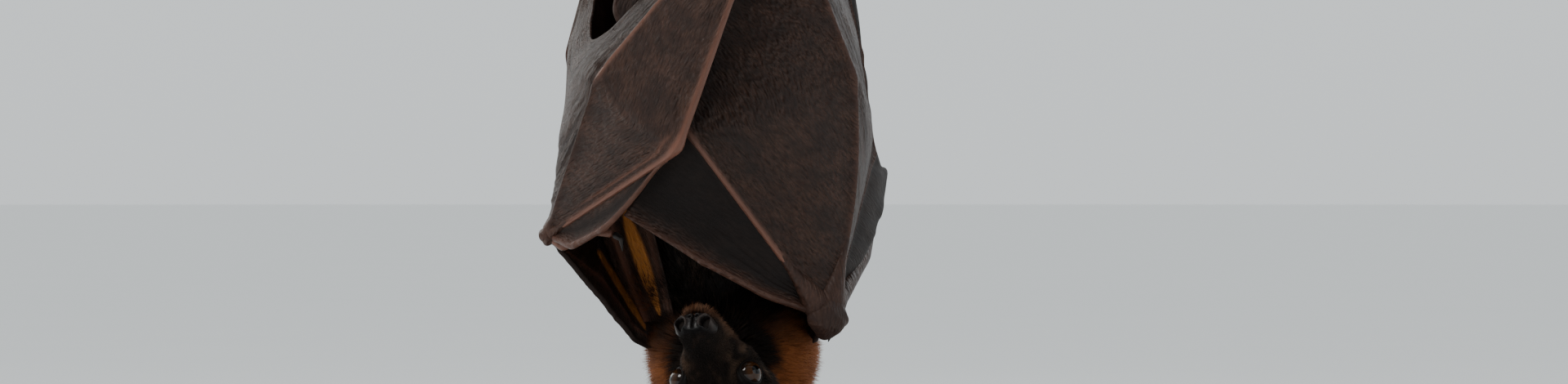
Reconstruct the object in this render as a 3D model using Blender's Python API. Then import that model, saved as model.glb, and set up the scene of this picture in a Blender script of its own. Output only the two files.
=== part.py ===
"""A flying fox hanging head down from a cut branch, wrapped in its wings, on a plain display stand.

Millimetre sizes are turned to metres by place() and MM. The bat's left side is at -X, its belly faces -Y
and its head hangs at the bottom. Every part of the body is a closed solid of its own, a thin gap apart.
"""

import math

import bmesh
import bpy
from mathutils import Vector
from mathutils.bvhtree import BVHTree

MM = 0.001
GAP = 0.3 * MM  # clearance between neighbouring solids
WELD = 0.02 * MM
WEB_THICK = 0.9 * MM  # wing skin in the solids
WEB_STEPS = 160  # how finely a wing skin is fitted between its bones
NARROWEST_WEB = 1.5 * MM
HANG_Y = -19.5  # the bat hangs this far in front of the middle of the base

# ---- the stand ----
BASE_WIDE, BASE_DEEP, BASE_THICK = 200.0, 216.0, 14.0
BASE_CORNER = 22.0
ROD_RADIUS, ROD_BACK, ROD_BEND = 4.0, 86.0, 20.0
ROD_X = 2.0  # midway between the feet
ROD_BEND_STEPS = 6
COLLAR_RADIUS, COLLAR_LONG = 8.5, 7.0
PERCH_Z, PERCH_RADIUS, PERCH_LONG = 374.0, 10.5, 188.0

# ---- the head, in its own frame: forward, to the bat's right, and up through the crown ----
EYES_MIDDLE = (2.6, -40.0, 70.0)
HEAD_FORWARD = Vector((-0.305, -0.757, 0.574)).normalized()
HEAD_RIGHT = Vector((0.947, -0.300, 0.109)).normalized()
HEAD_UP = HEAD_RIGHT.cross(HEAD_FORWARD).normalized()
EYE_RADIUS, EYE_APART, EYE_UP = 5.5, 13.4, 1.0
EAR_LONG, EAR_WIDE, EAR_THICK = 30.0, 17.0, 1.3
# forward, half width, top, bottom of the head at each station from the back of the skull to the nose
HEAD_STATIONS = (
    (-36.0, 0.0, -1.0, -1.0),
    (-33.0, 11.0, 8.0, -11.0),
    (-25.0, 17.2, 12.5, -16.5),
    (-14.0, 18.6, 13.6, -18.0),
    (-5.0, 17.4, 11.8, -18.0),
    (2.0, 14.8, 8.4, -17.0),
    (9.0, 11.6, 4.6, -15.8),
    (16.0, 9.6, 2.2, -14.8),
    (23.0, 8.8, 1.2, -13.4),
    (28.0, 7.8, -0.4, -11.8),
    (31.5, 0.0, -5.6, -5.6),
)

# ---- trunk: height, half width, half depth, and how far its middle is set back ----
TRUNK_STATIONS = (
    (80.0, 0.0, 0.0, 2.0),
    (86.0, 20.0, 17.0, 3.0),
    (98.0, 30.0, 26.0, 4.0),
    (120.0, 33.0, 29.0, 5.0),
    (150.0, 33.0, 29.0, 6.0),
    (185.0, 30.0, 27.0, 6.0),
    (225.0, 26.0, 23.0, 6.0),
    (255.0, 21.0, 18.0, 7.0),
    (270.0, 13.0, 12.0, 8.0),
    (275.0, 0.0, 0.0, 8.0),
)
TRUNK_X = 3.0
RUFF_MIDDLE, RUFF_RADII = (9.0, -3.0, 77.0), (36.0, 31.0, 33.0)

# ---- where the joints of each wing and leg are ----
# A finger runs from the wrist over its knuckle and its middle joint to its tip.
WINGS = {
    "l": {
        "shoulder": (-22.0, 5.0, 102.0),
        "elbow": (-50.0, 60.0, 168.0),
        "forearm_bow": (3.0, 0.0, -4.0),
        "wrist": (-64.5, -26.0, 125.3),
        "wrist_radius": 4.3,
        "neck": (-25.5, -12.0, 77.0),
        "thumb": ((-58.5, -28.0, 121.0), (-46.0, -40.0, 127.0), (-38.0, -44.0, 126.0)),
        "thumb_claw": ((-38.0, -44.0, 126.0), (-34.8, -45.0, 124.0), (-34.2, -44.0, 119.0)),
        "index": ((-54.5, -41.0, 121.0), (-41.0, -58.0, 128.0), (-16.0, -83.0, 151.0)),
        "finger_3": ((-12.2, -86.0, 158.5), (11.0, -84.0, 222.0), (24.0, -56.0, 297.0)),
        "finger_4": ((-42.3, -72.0, 188.5), (-10.0, -80.0, 227.0), (5.0, -62.0, 284.0)),
        "finger_5": ((-56.5, -6.0, 201.0), (-46.0, -9.0, 240.0), (-34.0, -13.0, 277.0)),
    },
    "r": {
        "shoulder": (26.0, 5.0, 102.0),
        "elbow": (61.0, 60.0, 156.0),
        "forearm_bow": (8.0, 0.0, -5.0),
        "wrist": (46.6, -44.0, 93.3),
        "wrist_radius": 9.2,
        "neck": (42.0, -16.0, 82.0),
        "thumb": ((50.0, -33.0, 89.0), (51.5, -22.0, 88.0), (50.0, -10.0, 87.0)),
        "thumb_claw": ((50.0, -10.0, 87.0), (49.0, -5.0, 86.0), (47.5, -3.0, 82.0)),
        "index": ((22.0, -53.0, 102.0), (-2.0, -57.0, 115.0), (-33.0, -53.0, 134.0)),
        "finger_3": ((-7.5, -63.0, 165.5), (-38.0, -35.0, 214.0), (-16.0, -30.0, 287.0)),
        "finger_4": ((57.5, -40.0, 189.0), (40.0, -54.0, 235.0), (26.0, -42.0, 284.0)),
        "finger_5": ((65.5, 18.0, 158.0), (60.5, 8.0, 198.0), (52.5, 0.0, 238.0)),
    },
}
LEGS = {
    "l": {"hip": (-9.0, 6.0, 256.0), "knee": (-27.0, 20.0, 302.0), "ankle": (-16.5, 15.0, 351.0)},
    "r": {"hip": (15.0, 6.0, 256.0), "knee": (33.0, 20.0, 302.0), "ankle": (20.5, 15.0, 351.0)},
}
HAND_BOWS = {("l", "finger_5"): (4.0, 0.0, 0.0), ("r", "finger_4"): (5.0, 0.0, 0.0)}  # bones that bow sideways
FINGERS = ("index", "finger_3", "finger_4", "finger_5")
KNUCKLE, MIDDLE_JOINT = 0.42, 0.72  # shares of a finger's length where its joints are
# where a finger and the skin beside it have their rings: closer together round the joints
FINGER_RINGS = (0.06, 0.11, 0.2, 0.3, 0.395, 0.42, 0.445, 0.57, 0.695, 0.72, 0.745, 0.87, 1.0)
INDEX_RINGS = (0.14, 0.26, 0.4, 0.56, 0.7, 0.85, 1.0)
INDEX_REACH = {"l": 0.385, "r": 0.44}  # how far along the third finger the index's own skin reaches
TOES, TOE_APART, TOE_RADIUS = 5, 3.9, 1.55
CLAW_ARC = ((108.0, 0.1), (142.0, 0.5), (174.0, -0.3))  # turn over the branch, and lift from the toe's arc
SIDE_BULGE = {"l": 6.0, "r": 13.0}  # how far the skin at the flank stands out

# ---- finishes: colour, roughness, metallic ----
FINISHES = {
    "fur_dark": ((0.020, 0.014, 0.012), 0.85, 0.0),
    "fur_rust": ((0.150, 0.048, 0.018), 0.85, 0.0),
    "wing_skin": ((0.050, 0.030, 0.026), 0.55, 0.0),
    "bone_skin": ((0.110, 0.050, 0.036), 0.50, 0.0),
    "eye": ((0.030, 0.012, 0.006), 0.08, 0.0),
    "claw": ((0.020, 0.016, 0.014), 0.30, 0.0),
    "bark": ((0.130, 0.090, 0.060), 0.85, 0.0),
    "base": ((0.025, 0.022, 0.020), 0.40, 0.0),
    "steel": ((0.550, 0.550, 0.560), 0.30, 1.0),
}


WHOLE = {}  # the meshes of solids before anything was cut from them, by name


def place(point):
    """A place on the bat, given in millimetres, as a point of the row frame in metres."""
    return (Vector(point) + Vector((0.0, HANG_Y, 0.0))) * MM


def in_head(forward, right, up):
    """A place given in the head's own frame, in millimetres."""
    return place(Vector(EYES_MIDDLE) + forward * HEAD_FORWARD + right * HEAD_RIGHT + up * HEAD_UP)


# ---------------------------------------------------------------- building blocks


def finish(name):
    """The Principled material of one finish, made once."""
    found = bpy.data.materials.get(name)
    if found:
        return found
    colour, roughness, metallic = FINISHES[name]
    made = bpy.data.materials.new(name)
    made.use_nodes = True
    shader = made.node_tree.nodes["Principled BSDF"]
    shader.inputs["Base Color"].default_value = (*colour, 1.0)
    shader.inputs["Roughness"].default_value = roughness
    shader.inputs["Metallic"].default_value = metallic
    made.diffuse_color = (*colour, 1.0)
    return made


def node_from(name, bm, look, smooth=True):
    """A named object from a bmesh, with its faces pointing outwards."""
    bmesh.ops.remove_doubles(bm, verts=bm.verts, dist=0.002 * MM)
    bmesh.ops.recalc_face_normals(bm, faces=bm.faces)
    mesh = bpy.data.meshes.new(name)
    bm.to_mesh(mesh)
    bm.free()
    if smooth:
        mesh.shade_smooth()
    mesh.materials.append(finish(look))
    made = bpy.data.objects.new(name, mesh)
    bpy.context.scene.collection.objects.link(made)
    return made


def settle(obj):
    """Puts what the object's modifiers make into its own mesh."""
    bpy.context.view_layer.update()
    graph = bpy.context.evaluated_depsgraph_get()
    mesh = bpy.data.meshes.new_from_object(obj.evaluated_get(graph))
    obj.modifiers.clear()
    obj.data = mesh
    return obj


def grown(obj, by):
    """A copy of a solid as it was before it was cut itself, swollen by a distance, for cutting its neighbours."""
    bm = bmesh.new()
    bm.from_mesh(WHOLE.get(obj.name, obj.data))
    bm.normal_update()
    for vert, normal in [(v, v.normal.copy()) for v in bm.verts]:
        vert.co += normal * by * max(1.0, min(1.8, vert.calc_shell_factor()))
    copy = node_from(obj.name + "_cutter", bm, "claw")
    copy.hide_render = True
    copy.display_type = "WIRE"
    return copy


def combine(obj, other, operation):
    """Joins or subtracts another object, which is then removed."""
    if operation == "DIFFERENCE":
        WHOLE.setdefault(obj.name, obj.data.copy())
    boolean = obj.modifiers.new(operation.lower(), "BOOLEAN")
    boolean.operation = operation
    boolean.solver = "EXACT"
    boolean.object = other
    settle(obj)
    bpy.data.objects.remove(other)
    return obj


def largest_body(obj):
    """Drops the crumbs a cut may leave beside the body itself, and welds its slivers."""
    bm = bmesh.new()
    bm.from_mesh(obj.data)
    bmesh.ops.remove_doubles(bm, verts=bm.verts, dist=WELD)
    bmesh.ops.dissolve_degenerate(bm, edges=bm.edges, dist=WELD)
    left, bodies = set(bm.verts), []
    while left:
        body, edge = set(), [left.pop()]
        while edge:
            vert = edge.pop()
            body.add(vert)
            for link in vert.link_edges:
                other = link.other_vert(vert)
                if other in left:
                    left.remove(other)
                    edge.append(other)
        bodies.append(body)

    def room(body):
        spread = [max(v.co[k] for v in body) - min(v.co[k] for v in body) for k in range(3)]
        return sum(spread)

    bodies.sort(key=room)
    crumbs = [vert for body in bodies[:-1] for vert in body]
    bmesh.ops.delete(bm, geom=crumbs, context="VERTS")
    bm.to_mesh(obj.data)
    bm.free()
    return obj


def cut(obj, *neighbours, clear=GAP):
    """Takes away what would overlap the neighbours, with a thin gap to each."""
    for neighbour in neighbours:
        combine(obj, grown(neighbour, clear), "DIFFERENCE")
    return largest_body(obj)


def between(stations, value):
    """Reads a table of stations smoothly: its rows start with the place along, and rise."""
    rows = list(stations)
    for number in range(len(rows) - 1):
        low, high = rows[number], rows[number + 1]
        if value <= high[0] or number == len(rows) - 2:
            share = min(1.0, max(0.0, (value - low[0]) / (high[0] - low[0])))
            before, after = rows[max(0, number - 1)], rows[min(len(rows) - 1, number + 2)]
            found = []
            for k in range(1, len(low)):
                rise = (high[k] - before[k]) / (high[0] - before[0]) * (high[0] - low[0])
                fall = (after[k] - low[k]) / (after[0] - low[0]) * (high[0] - low[0])
                if number == 0:
                    rise = 1.6 * (high[k] - low[k])
                if number == len(rows) - 2:
                    fall = 1.6 * (high[k] - low[k])
                s, s2, s3 = share, share * share, share**3
                found.append(
                    low[k] * (2 * s3 - 3 * s2 + 1)
                    + rise * (s3 - 2 * s2 + s)
                    + high[k] * (3 * s2 - 2 * s3)
                    + fall * (s3 - s2)
                )
            return found
    return list(rows[-1][1:])


def blob(name, shape, look, around=24, along=16):
    """A closed form from a globe whose every point shape(share along, angle round) puts in place."""
    bm = bmesh.new()
    bmesh.ops.create_uvsphere(bm, u_segments=around, v_segments=along, radius=1.0)
    for vert in bm.verts:
        level = max(-1.0, min(1.0, vert.co.z))
        share = math.acos(-level) / math.pi
        vert.co = shape(share, math.atan2(vert.co.y, vert.co.x))
    return node_from(name, bm, look)


def tube(name, points, radii, look, sides=8):
    """A round rod of changing thickness through the points, with closed ends."""
    curve = bpy.data.curves.new(name, "CURVE")
    curve.dimensions = "3D"
    curve.bevel_depth = 1.0
    curve.bevel_resolution = (sides - 4) // 2
    curve.use_fill_caps = True
    curve.twist_mode = "MINIMUM"
    spline = curve.splines.new("POLY")
    spline.points.add(len(points) - 1)
    for spot, point, radius in zip(spline.points, points, radii):
        spot.co = (*point, 1.0)
        spot.radius = radius
    holder = bpy.data.objects.new(name + "_line", curve)
    bpy.context.scene.collection.objects.link(holder)
    bpy.context.view_layer.update()
    mesh = bpy.data.meshes.new_from_object(holder.evaluated_get(bpy.context.evaluated_depsgraph_get()))
    bpy.data.objects.remove(holder)
    bm = bmesh.new()
    bm.from_mesh(mesh)
    return node_from(name, bm, look)


def plate(name, shape, columns, rows, look="wing_skin", thick=WEB_THICK):
    """A thin plate: a grid whose points shape(across, along) puts in place, thickened evenly."""
    bm = bmesh.new()
    bmesh.ops.create_grid(bm, x_segments=columns, y_segments=rows, size=0.5)
    for vert in bm.verts:
        vert.co = shape(vert.co.x + 0.5, vert.co.y + 0.5)
    made = node_from(name, bm, look)
    wall = made.modifiers.new("wall", "SOLIDIFY")
    wall.thickness = thick
    wall.offset = 0.0
    settle(made)
    bm = bmesh.new()
    bm.from_mesh(made.data)
    if bm.calc_volume(signed=True) < 0:
        bmesh.ops.reverse_faces(bm, faces=bm.faces)
    bm.to_mesh(made.data)
    bm.free()
    return made


def room_around(trees, point):
    """The distance from a point to the nearest solid, negative inside it."""
    rooms = []
    for tree in trees:
        spot, normal, _, reach = tree.find_nearest(point)
        rooms.append(-reach if (point - spot).dot(normal) < 0 else reach)
    return min(rooms)


def web(name, surface, shares, columns, solids):
    """A wing skin on surface(share, part), kept where it is clear of the solids that it spans."""
    trees = []
    for solid in solids:
        mesh = WHOLE.get(solid, bpy.data.objects[solid].data)
        corners, faces = [v.co for v in mesh.vertices], [p.vertices for p in mesh.polygons]
        trees.append(BVHTree.FromPolygons(corners, faces))
    clear = GAP + WEB_THICK / 2 + 0.05 * MM
    rows = []
    for share in shares:
        runs, run = [], []
        for step in range(WEB_STEPS + 1):
            if room_around(trees, surface(share, step / WEB_STEPS)) >= clear:
                run.append(step / WEB_STEPS)
            elif run:
                runs.append(run)
                run = []
        runs = [r for r in [*runs, run] if r]
        longest = max(runs, key=len, default=[0.0])
        low, high = longest[0], longest[-1]
        if (surface(share, high) - surface(share, low)).length > NARROWEST_WEB:
            rows.append([share, low, high])
    for number in (1, 2):  # the edge between two rows keeps clear too
        for _ in range(WEB_STEPS // 4):
            tight = set()
            for this, after in zip(range(len(rows)), range(1, len(rows))):
                ends = [surface(rows[k][0], rows[k][number]) for k in (this, after)]
                if any(room_around(trees, ends[0].lerp(ends[1], f)) < clear for f in (0.25, 0.5, 0.75)):
                    tight |= {this, after}
            for k in tight:
                rows[k][number] += (1.0 if number == 1 else -1.0) / WEB_STEPS

    def shape(across, along):
        share, low, high = rows[round(along * (len(rows) - 1))]
        return surface(share, low + (high - low) * across)

    return plate(name, shape, columns, len(rows) - 1)


class Strand:
    """A line of straight stretches with rounded corners, and a thickness that swells at its joints."""

    ROUNDING = 0.012

    def __init__(self, stops, radii, joints=(), swell=0.0, bow=(0.0, 0.0, 0.0)):
        self.stops, self.radii = stops, radii
        self.joints, self.swell = joints, swell
        self.bow = Vector(bow) * MM

    def straight(self, share):
        share = min(1.0, max(0.0, share))
        for (low, start), (high, end) in zip(self.stops, self.stops[1:]):
            if share <= high:
                part = (share - low) / (high - low)
                arch = math.sin(math.pi * part) if low == 0.0 else 0.0
                return start.lerp(end, part) + self.bow * arch
        return self.stops[-1][1].copy()

    def point(self, share):
        spread = [self.straight(share + self.ROUNDING * k) for k in (-2, -1, 0, 1, 2)]
        if share < 2 * self.ROUNDING or share > 1 - 2 * self.ROUNDING:
            return self.straight(share)
        return sum(spread, Vector()) / len(spread)

    def radius(self, share):
        for (low, thick), (high, thin) in zip(self.radii, self.radii[1:]):
            if share <= high:
                base = thick + (thin - thick) * (share - low) / (high - low)
                break
        else:
            base = self.radii[-1][1]
        knobs = sum(math.exp(-(((share - joint) / 0.022) ** 2)) for joint in self.joints)
        return base * (1.0 + self.swell * knobs)


# ---------------------------------------------------------------- the limbs as lines


def finger_line(side, finger):
    """A finger from the wrist to its tip."""
    wing = WINGS[side]
    spots = [place(wing["wrist"]), *(place(p) for p in wing[finger])]
    if finger == "index":
        radii = ((0.0, 1.1 * MM), (0.2, 1.5 * MM), (0.6, 1.2 * MM), (1.0, 0.9 * MM))
        return Strand(list(zip((0.0, 0.25, 0.56, 1.0), spots)), radii, (0.56,), 0.25)
    shaft = 1.9 * MM if (finger, side) == ("finger_3", "l") else 1.5 * MM  # one has a thick fold
    radii = ((0.0, 0.9 * MM), (0.1, 1.7 * MM), (KNUCKLE, shaft), (MIDDLE_JOINT, 0.8 * shaft))
    radii += ((1.0, 0.6 * MM),)
    bow = HAND_BOWS.get((side, finger), (0.0, 0.0, 0.0))
    stops = list(zip((0.0, KNUCKLE, MIDDLE_JOINT, 1.0), spots))
    return Strand(stops, radii, (KNUCKLE, MIDDLE_JOINT), 0.4, bow)


def arm_line(side):
    """The outer arm as the wing skin follows it: wrist, elbow, shoulder."""
    wing = WINGS[side]
    stops = list(zip((0.0, 0.55, 1.0), (place(wing[k]) for k in ("wrist", "elbow", "shoulder"))))
    return Strand(stops, ((0.0, 0.0), (1.0, 0.0)), bow=wing["forearm_bow"])


def flank_line(side):
    """Where the wing skin ends at the body: wrist, elbow, down the upper arm, up the flank, knee, ankle."""
    wing, leg = WINGS[side], LEGS[side]
    out = -1.0 if side == "l" else 1.0
    low = place((TRUNK_X + 25.0 * out, 22.0, 138.0))
    high = place((TRUNK_X + 18.0 * out, 17.0, 238.0))
    spots = (place(wing["wrist"]), place(wing["elbow"]), low, high, place(leg["knee"]), place(leg["ankle"]))
    stops = list(zip((0.0, 0.36, 0.48, 0.68, 0.85, 1.0), spots))
    return Strand(stops, ((0.0, 0.0), (1.0, 0.0)), bow=wing["forearm_bow"])


# ---------------------------------------------------------------- the stand


def build_stand():
    bm = bmesh.new()
    bmesh.ops.create_cube(bm, size=1.0)
    for vert in bm.verts:
        vert.co = Vector((vert.co.x * BASE_WIDE, vert.co.y * BASE_DEEP, (vert.co.z + 0.5) * BASE_THICK)) * MM
    uprights = [e for e in bm.edges if abs(e.verts[0].co.z - e.verts[1].co.z) > 0.5 * BASE_THICK * MM]
    bmesh.ops.bevel(bm, geom=uprights, offset=BASE_CORNER * MM, segments=5, profile=0.5, affect="EDGES")
    top = [e for e in bm.edges if all(v.co.z > 0.9 * BASE_THICK * MM for v in e.verts)]
    bmesh.ops.bevel(bm, geom=top, offset=1.5 * MM, segments=1, profile=0.5, affect="EDGES")
    node_from("stand_base", bm, "base", smooth=False)

    top_z, floor_z = PERCH_Z, BASE_THICK + GAP / MM
    start_y = PERCH_RADIUS + COLLAR_LONG + 0.6
    points = [(ROD_X, ROD_BACK, floor_z)]
    for step in range(ROD_BEND_STEPS + 1):
        angle = step / ROD_BEND_STEPS * math.pi / 2
        back = ROD_BACK - ROD_BEND * (1 - math.cos(angle))
        points.append((ROD_X, back, top_z - ROD_BEND * (1 - math.sin(angle))))
    points.append((ROD_X, start_y, top_z))
    tube("stand_rod", [place(p) for p in points], [ROD_RADIUS * MM] * len(points), "steel", sides=12)

    for name, foot, turn in (
        ("stand_base_collar", (ROD_X, ROD_BACK, floor_z), (0.0, 0.0, 1.0)),
        ("stand_perch_collar", (ROD_X, start_y - 0.3, top_z), (0.0, -1.0, 0.0)),
    ):
        length = COLLAR_LONG if name == "stand_base_collar" else COLLAR_LONG + 1.5
        ends = [place(Vector(foot) + Vector(turn) * length * k) for k in (0.0, 0.8, 1.0)]
        ring = tube(name, ends, [COLLAR_RADIUS * MM, COLLAR_RADIUS * MM, 0.86 * COLLAR_RADIUS * MM], "steel", 14)
        if name == "stand_base_collar":
            cut(ring, bpy.data.objects["stand_rod"])


def perch_line(share):
    """The middle of the branch, which bows a little, and its thickness."""
    x = (share - 0.5) * PERCH_LONG
    bow = 2.2 * math.sin(2.3 * share + 0.6) - 2.1
    wave = 1.4 * math.sin(5.0 * share)
    return place((x + 2.0, wave * 0.6, PERCH_Z + bow)), (PERCH_RADIUS * (1.06 - 0.16 * share)) * MM


def build_perch():
    steps = 10
    spots = [perch_line(step / steps) for step in range(steps + 1)]
    branch = tube("perch", [p for p, _ in spots], [r for _, r in spots], "bark", sides=12)
    cut(branch, bpy.data.objects["stand_perch_collar"])


# ---------------------------------------------------------------- head, neck and trunk


def head_shape(share, angle):
    """A point of the head's outline: share runs from the back of the skull to the nose."""
    first, last = HEAD_STATIONS[0][0], HEAD_STATIONS[-1][0]
    forward = first + (last - first) * (1 - math.cos(math.pi * share)) / 2
    wide, top, bottom = between(HEAD_STATIONS, forward)
    middle, tall = (top + bottom) / 2, (top - bottom) / 2
    across, upward = math.cos(angle), math.sin(angle)
    jaw = 1.0 - 0.22 * max(0.0, -upward) ** 1.5  # the jaw is narrower than the skull
    return in_head(forward, max(0.0, wide) * across * jaw, middle + max(0.0, tall) * upward)


def build_head():
    eyes = []
    for side, sign in (("l", -1.0), ("r", 1.0)):
        bm = bmesh.new()
        bmesh.ops.create_uvsphere(bm, u_segments=12, v_segments=7, radius=EYE_RADIUS * MM)
        bmesh.ops.translate(bm, verts=bm.verts, vec=in_head(-0.5, sign * EYE_APART, EYE_UP))
        eyes.append(node_from("eye_" + side, bm, "eye"))
    head = blob("head", head_shape, "fur_dark", around=18, along=16)
    for sign in (-1.0, 1.0):  # the nostrils open forward and outward
        mouth = in_head(29.4, sign * 5.0, -4.6)
        inner = in_head(25.0, sign * 3.4, -5.6)
        outer = mouth + (mouth - inner)
        pit = tube("nostril_cutter", [inner, mouth, outer], [1.1 * MM, 1.7 * MM, 2.3 * MM], "claw")
        combine(head, pit, "DIFFERENCE")
    cut(head, *eyes)

    for side, sign in (("l", -1.0), ("r", 1.0)):

        def ear_shape(across, along, sign=sign):
            """A leaf rolled into a half cone, which stands up and out from the crown."""
            lift = EAR_LONG * along - 3.0
            half = 0.5 * EAR_WIDE * math.sin(math.pi * (0.16 + 0.80 * along)) ** 0.8
            roll = (across - 0.5) * math.radians(200.0 - 70.0 * along)
            front = -14.0 - 0.36 * lift - half * math.cos(roll) * 0.75 + 4.0
            side_out = sign * (12.5 + 0.46 * lift + half * math.sin(roll) * sign)
            return in_head(front, side_out, 9.0 + 0.82 * lift)

        ear = plate("ear_" + side, ear_shape, 5, 6, "fur_dark", EAR_THICK * MM)
        cut(ear, head)

    def ruff_shape(share, angle):
        level = -math.cos(math.pi * share)
        ring = math.sqrt(max(0.0, 1 - level * level))
        wide, deep, tall = RUFF_RADII
        spot = Vector((wide * ring * math.cos(angle), deep * ring * math.sin(angle), tall * level))
        return place(Vector(RUFF_MIDDLE) + spot)

    neck = blob("neck", ruff_shape, "fur_rust", around=18, along=11)
    cut(neck, head, bpy.data.objects["ear_l"], bpy.data.objects["ear_r"])

    def trunk_shape(share, angle):
        first, last = TRUNK_STATIONS[0][0], TRUNK_STATIONS[-1][0]
        height = first + (last - first) * (1 - math.cos(math.pi * share)) / 2
        wide, deep, back = between(TRUNK_STATIONS, height)
        across, depth = max(0.0, wide) * math.cos(angle), max(0.0, deep) * math.sin(angle)
        return place((TRUNK_X + across, back + depth, height))

    trunk = blob("trunk", trunk_shape, "fur_dark", around=20, along=12)
    cut(trunk, neck)


# ---------------------------------------------------------------- wings


def build_arm(side):
    """Forearm with the wrist, upper arm, thumb and claw."""
    wing = WINGS[side]
    shoulder, elbow, wrist = (place(wing[k]) for k in ("shoulder", "elbow", "wrist"))
    bow = Vector(wing["forearm_bow"]) * MM
    knob = wing["wrist_radius"] * MM
    tall = knob / (wrist - elbow).length  # the wrist's knob as a share of the forearm's length
    shares = [-0.03, 0.02, 0.10, 0.3, 0.55, 0.93 - tall]
    shares += [1.0 + k * tall for k in (-0.9, -0.55, 0.0, 0.55, 0.93)]
    radii = [4.4 * MM, 6.0 * MM, 6.2 * MM, 5.4 * MM, 4.2 * MM, 3.6 * MM]
    radii += [max(3.6 * MM, 0.55 * knob), 0.86 * knob, knob, 0.83 * knob, 0.36 * knob]
    arches = [math.sin(math.pi * min(1.0, max(0.0, s))) for s in shares]
    points = [elbow + (wrist - elbow) * s + bow * arch for s, arch in zip(shares, arches)]
    forearm = tube("forearm_" + side, points, radii, "wing_skin", sides=10)

    shares = (0.0, 0.3, 0.65, 1.0)
    radii = [8.0 * MM, 8.4 * MM, 7.0 * MM, 5.6 * MM]
    upper = tube("upper_arm_" + side, [shoulder.lerp(elbow, s) for s in shares], radii, "fur_dark", sides=10)
    cut(upper, bpy.data.objects["trunk"], bpy.data.objects["neck"], forearm)

    knuckles = [place(p) for p in wing["thumb"]]
    thumb = tube("thumb_" + side, [wrist, *knuckles], [1.8 * MM, 2.0 * MM, 1.8 * MM, 1.5 * MM], "bone_skin", 6)
    cut(thumb, forearm)
    claw = [place(p) for p in wing["thumb_claw"]]
    hook = tube("thumb_claw_" + side, claw, [1.5 * MM, 1.2 * MM, 0.4 * MM], "claw", 6)
    cut(hook, thumb)


def rings(finger):
    return INDEX_RINGS if finger == "index" else FINGER_RINGS


def build_fingers(side):
    """The four long fingers of one hand, each a rod from the wrist to its tip."""
    for finger in FINGERS:
        line = finger_line(side, finger)
        root = 0.6 * WINGS[side]["wrist_radius"] * MM / (line.stops[1][1] - line.stops[0][1]).length
        shares = (root * line.stops[1][0], *rings(finger))
        points, radii = [line.point(s) for s in shares], [line.radius(s) for s in shares]
        rod = tube(f"{finger}_{side}", points, radii, "bone_skin", 6)
        cut(rod, bpy.data.objects["forearm_" + side])


def hand_web(side, first, second, columns, edge, belly):
    """The skin between two fingers, from where they part to its free edge."""
    near, far = finger_line(side, first), finger_line(side, second)
    reach = INDEX_REACH[side] if first == "index" else 1.0
    shares = rings(first)

    def surface(share, part):
        here = shares[0] + (share - shares[0]) * edge(part)
        a, b = near.point(here), far.point(here * reach)
        ahead = near.point(here + 0.02) - near.point(here - 0.02)
        outward = (b - a).cross(ahead).normalized()
        outward *= -math.copysign(1.0, outward.y)
        along = (share - shares[0]) / (1.0 - shares[0])
        bulge = belly * MM * 4 * part * (1 - part) * math.sin(math.pi * (0.1 + 0.8 * along))
        return a.lerp(b, part) + outward * bulge

    solids = [f"{name}_{side}" for name in (first, second, "forearm")]
    web(f"{first}_web_{side}", surface, shares, columns, solids)


def side_web(side, columns=8):
    """The skin from the little finger round the flank to the forearm, the body and the leg."""
    near, far = finger_line(side, "finger_5"), flank_line(side)
    out = Vector((-1.0 if side == "l" else 1.0, 0.35, 0.0))
    shares = FINGER_RINGS[1:]

    def surface(share, part):
        along = (share - shares[0]) / (1.0 - shares[0])
        here = shares[0] + (share - shares[0]) * (1.0 - 0.12 * math.sin(math.pi * part) * along**3)
        pleat = 0.8 * math.sin(part * math.pi * 4) * math.sin(math.pi * along)
        swell = SIDE_BULGE[side] * math.sin(math.pi * part) * math.sin(math.pi * along) ** 0.7 + pleat
        return near.point(here).lerp(far.point(here), part) + out * swell * MM

    solids = [n + side for n in ("finger_5_", "forearm_", "upper_arm_", "leg_")]
    web("side_web_" + side, surface, shares, columns, [*solids, "trunk"])


def shoulder_web(side, columns=5, rows=9):
    """The skin in front of the arm: from wrist, elbow and shoulder to the free edge from wrist to neck."""
    near, wing = arm_line(side), WINGS[side]
    wrist, neck = place(wing["wrist"]), place(wing["neck"])

    def surface(share, part):
        slack = 3.0 * MM * math.sin(math.pi * part) * math.sin(math.pi * share)
        return near.point(share).lerp(wrist.lerp(neck, share), part) + Vector((0.0, 0.0, -slack))

    shares = [0.05 + 0.9 * row / rows for row in range(rows + 1)]
    solids = [n + side for n in ("forearm_", "upper_arm_", "thumb_", "index_", "finger_3_")]
    web("shoulder_web_" + side, surface, shares, columns, [*solids, "neck", "trunk", "head"])


def scallop(depth, roundness=1.0):
    """A free edge that hangs in an arc between two finger tips: the lower the roundness, the squarer."""
    return lambda across: 1.0 - depth * max(0.0, math.sin(math.pi * across)) ** roundness


# ---------------------------------------------------------------- legs and feet


def build_leg(side):
    leg = LEGS[side]
    hip, knee, ankle = (place(leg[k]) for k in ("hip", "knee", "ankle"))
    points = [hip, hip.lerp(knee, 0.5), hip.lerp(knee, 0.9)]
    points += [knee.lerp(ankle, 0.08), knee.lerp(ankle, 0.5), ankle]
    radii = [9.0 * MM, 7.5 * MM, 5.4 * MM, 4.8 * MM, 3.6 * MM, 3.2 * MM]
    cut(tube("leg_" + side, points, radii, "fur_dark", sides=8), bpy.data.objects["trunk"])


def toe_point(x, turn, radius):
    """A point on the arc that a toe follows over the branch: turn 0 is behind it, 90 over the top."""
    share = (x - 2.0) / PERCH_LONG + 0.5
    middle, _ = perch_line(share)
    angle = math.radians(turn)
    return Vector((x * MM, middle.y + radius * math.cos(angle), middle.z + radius * math.sin(angle)))


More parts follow.
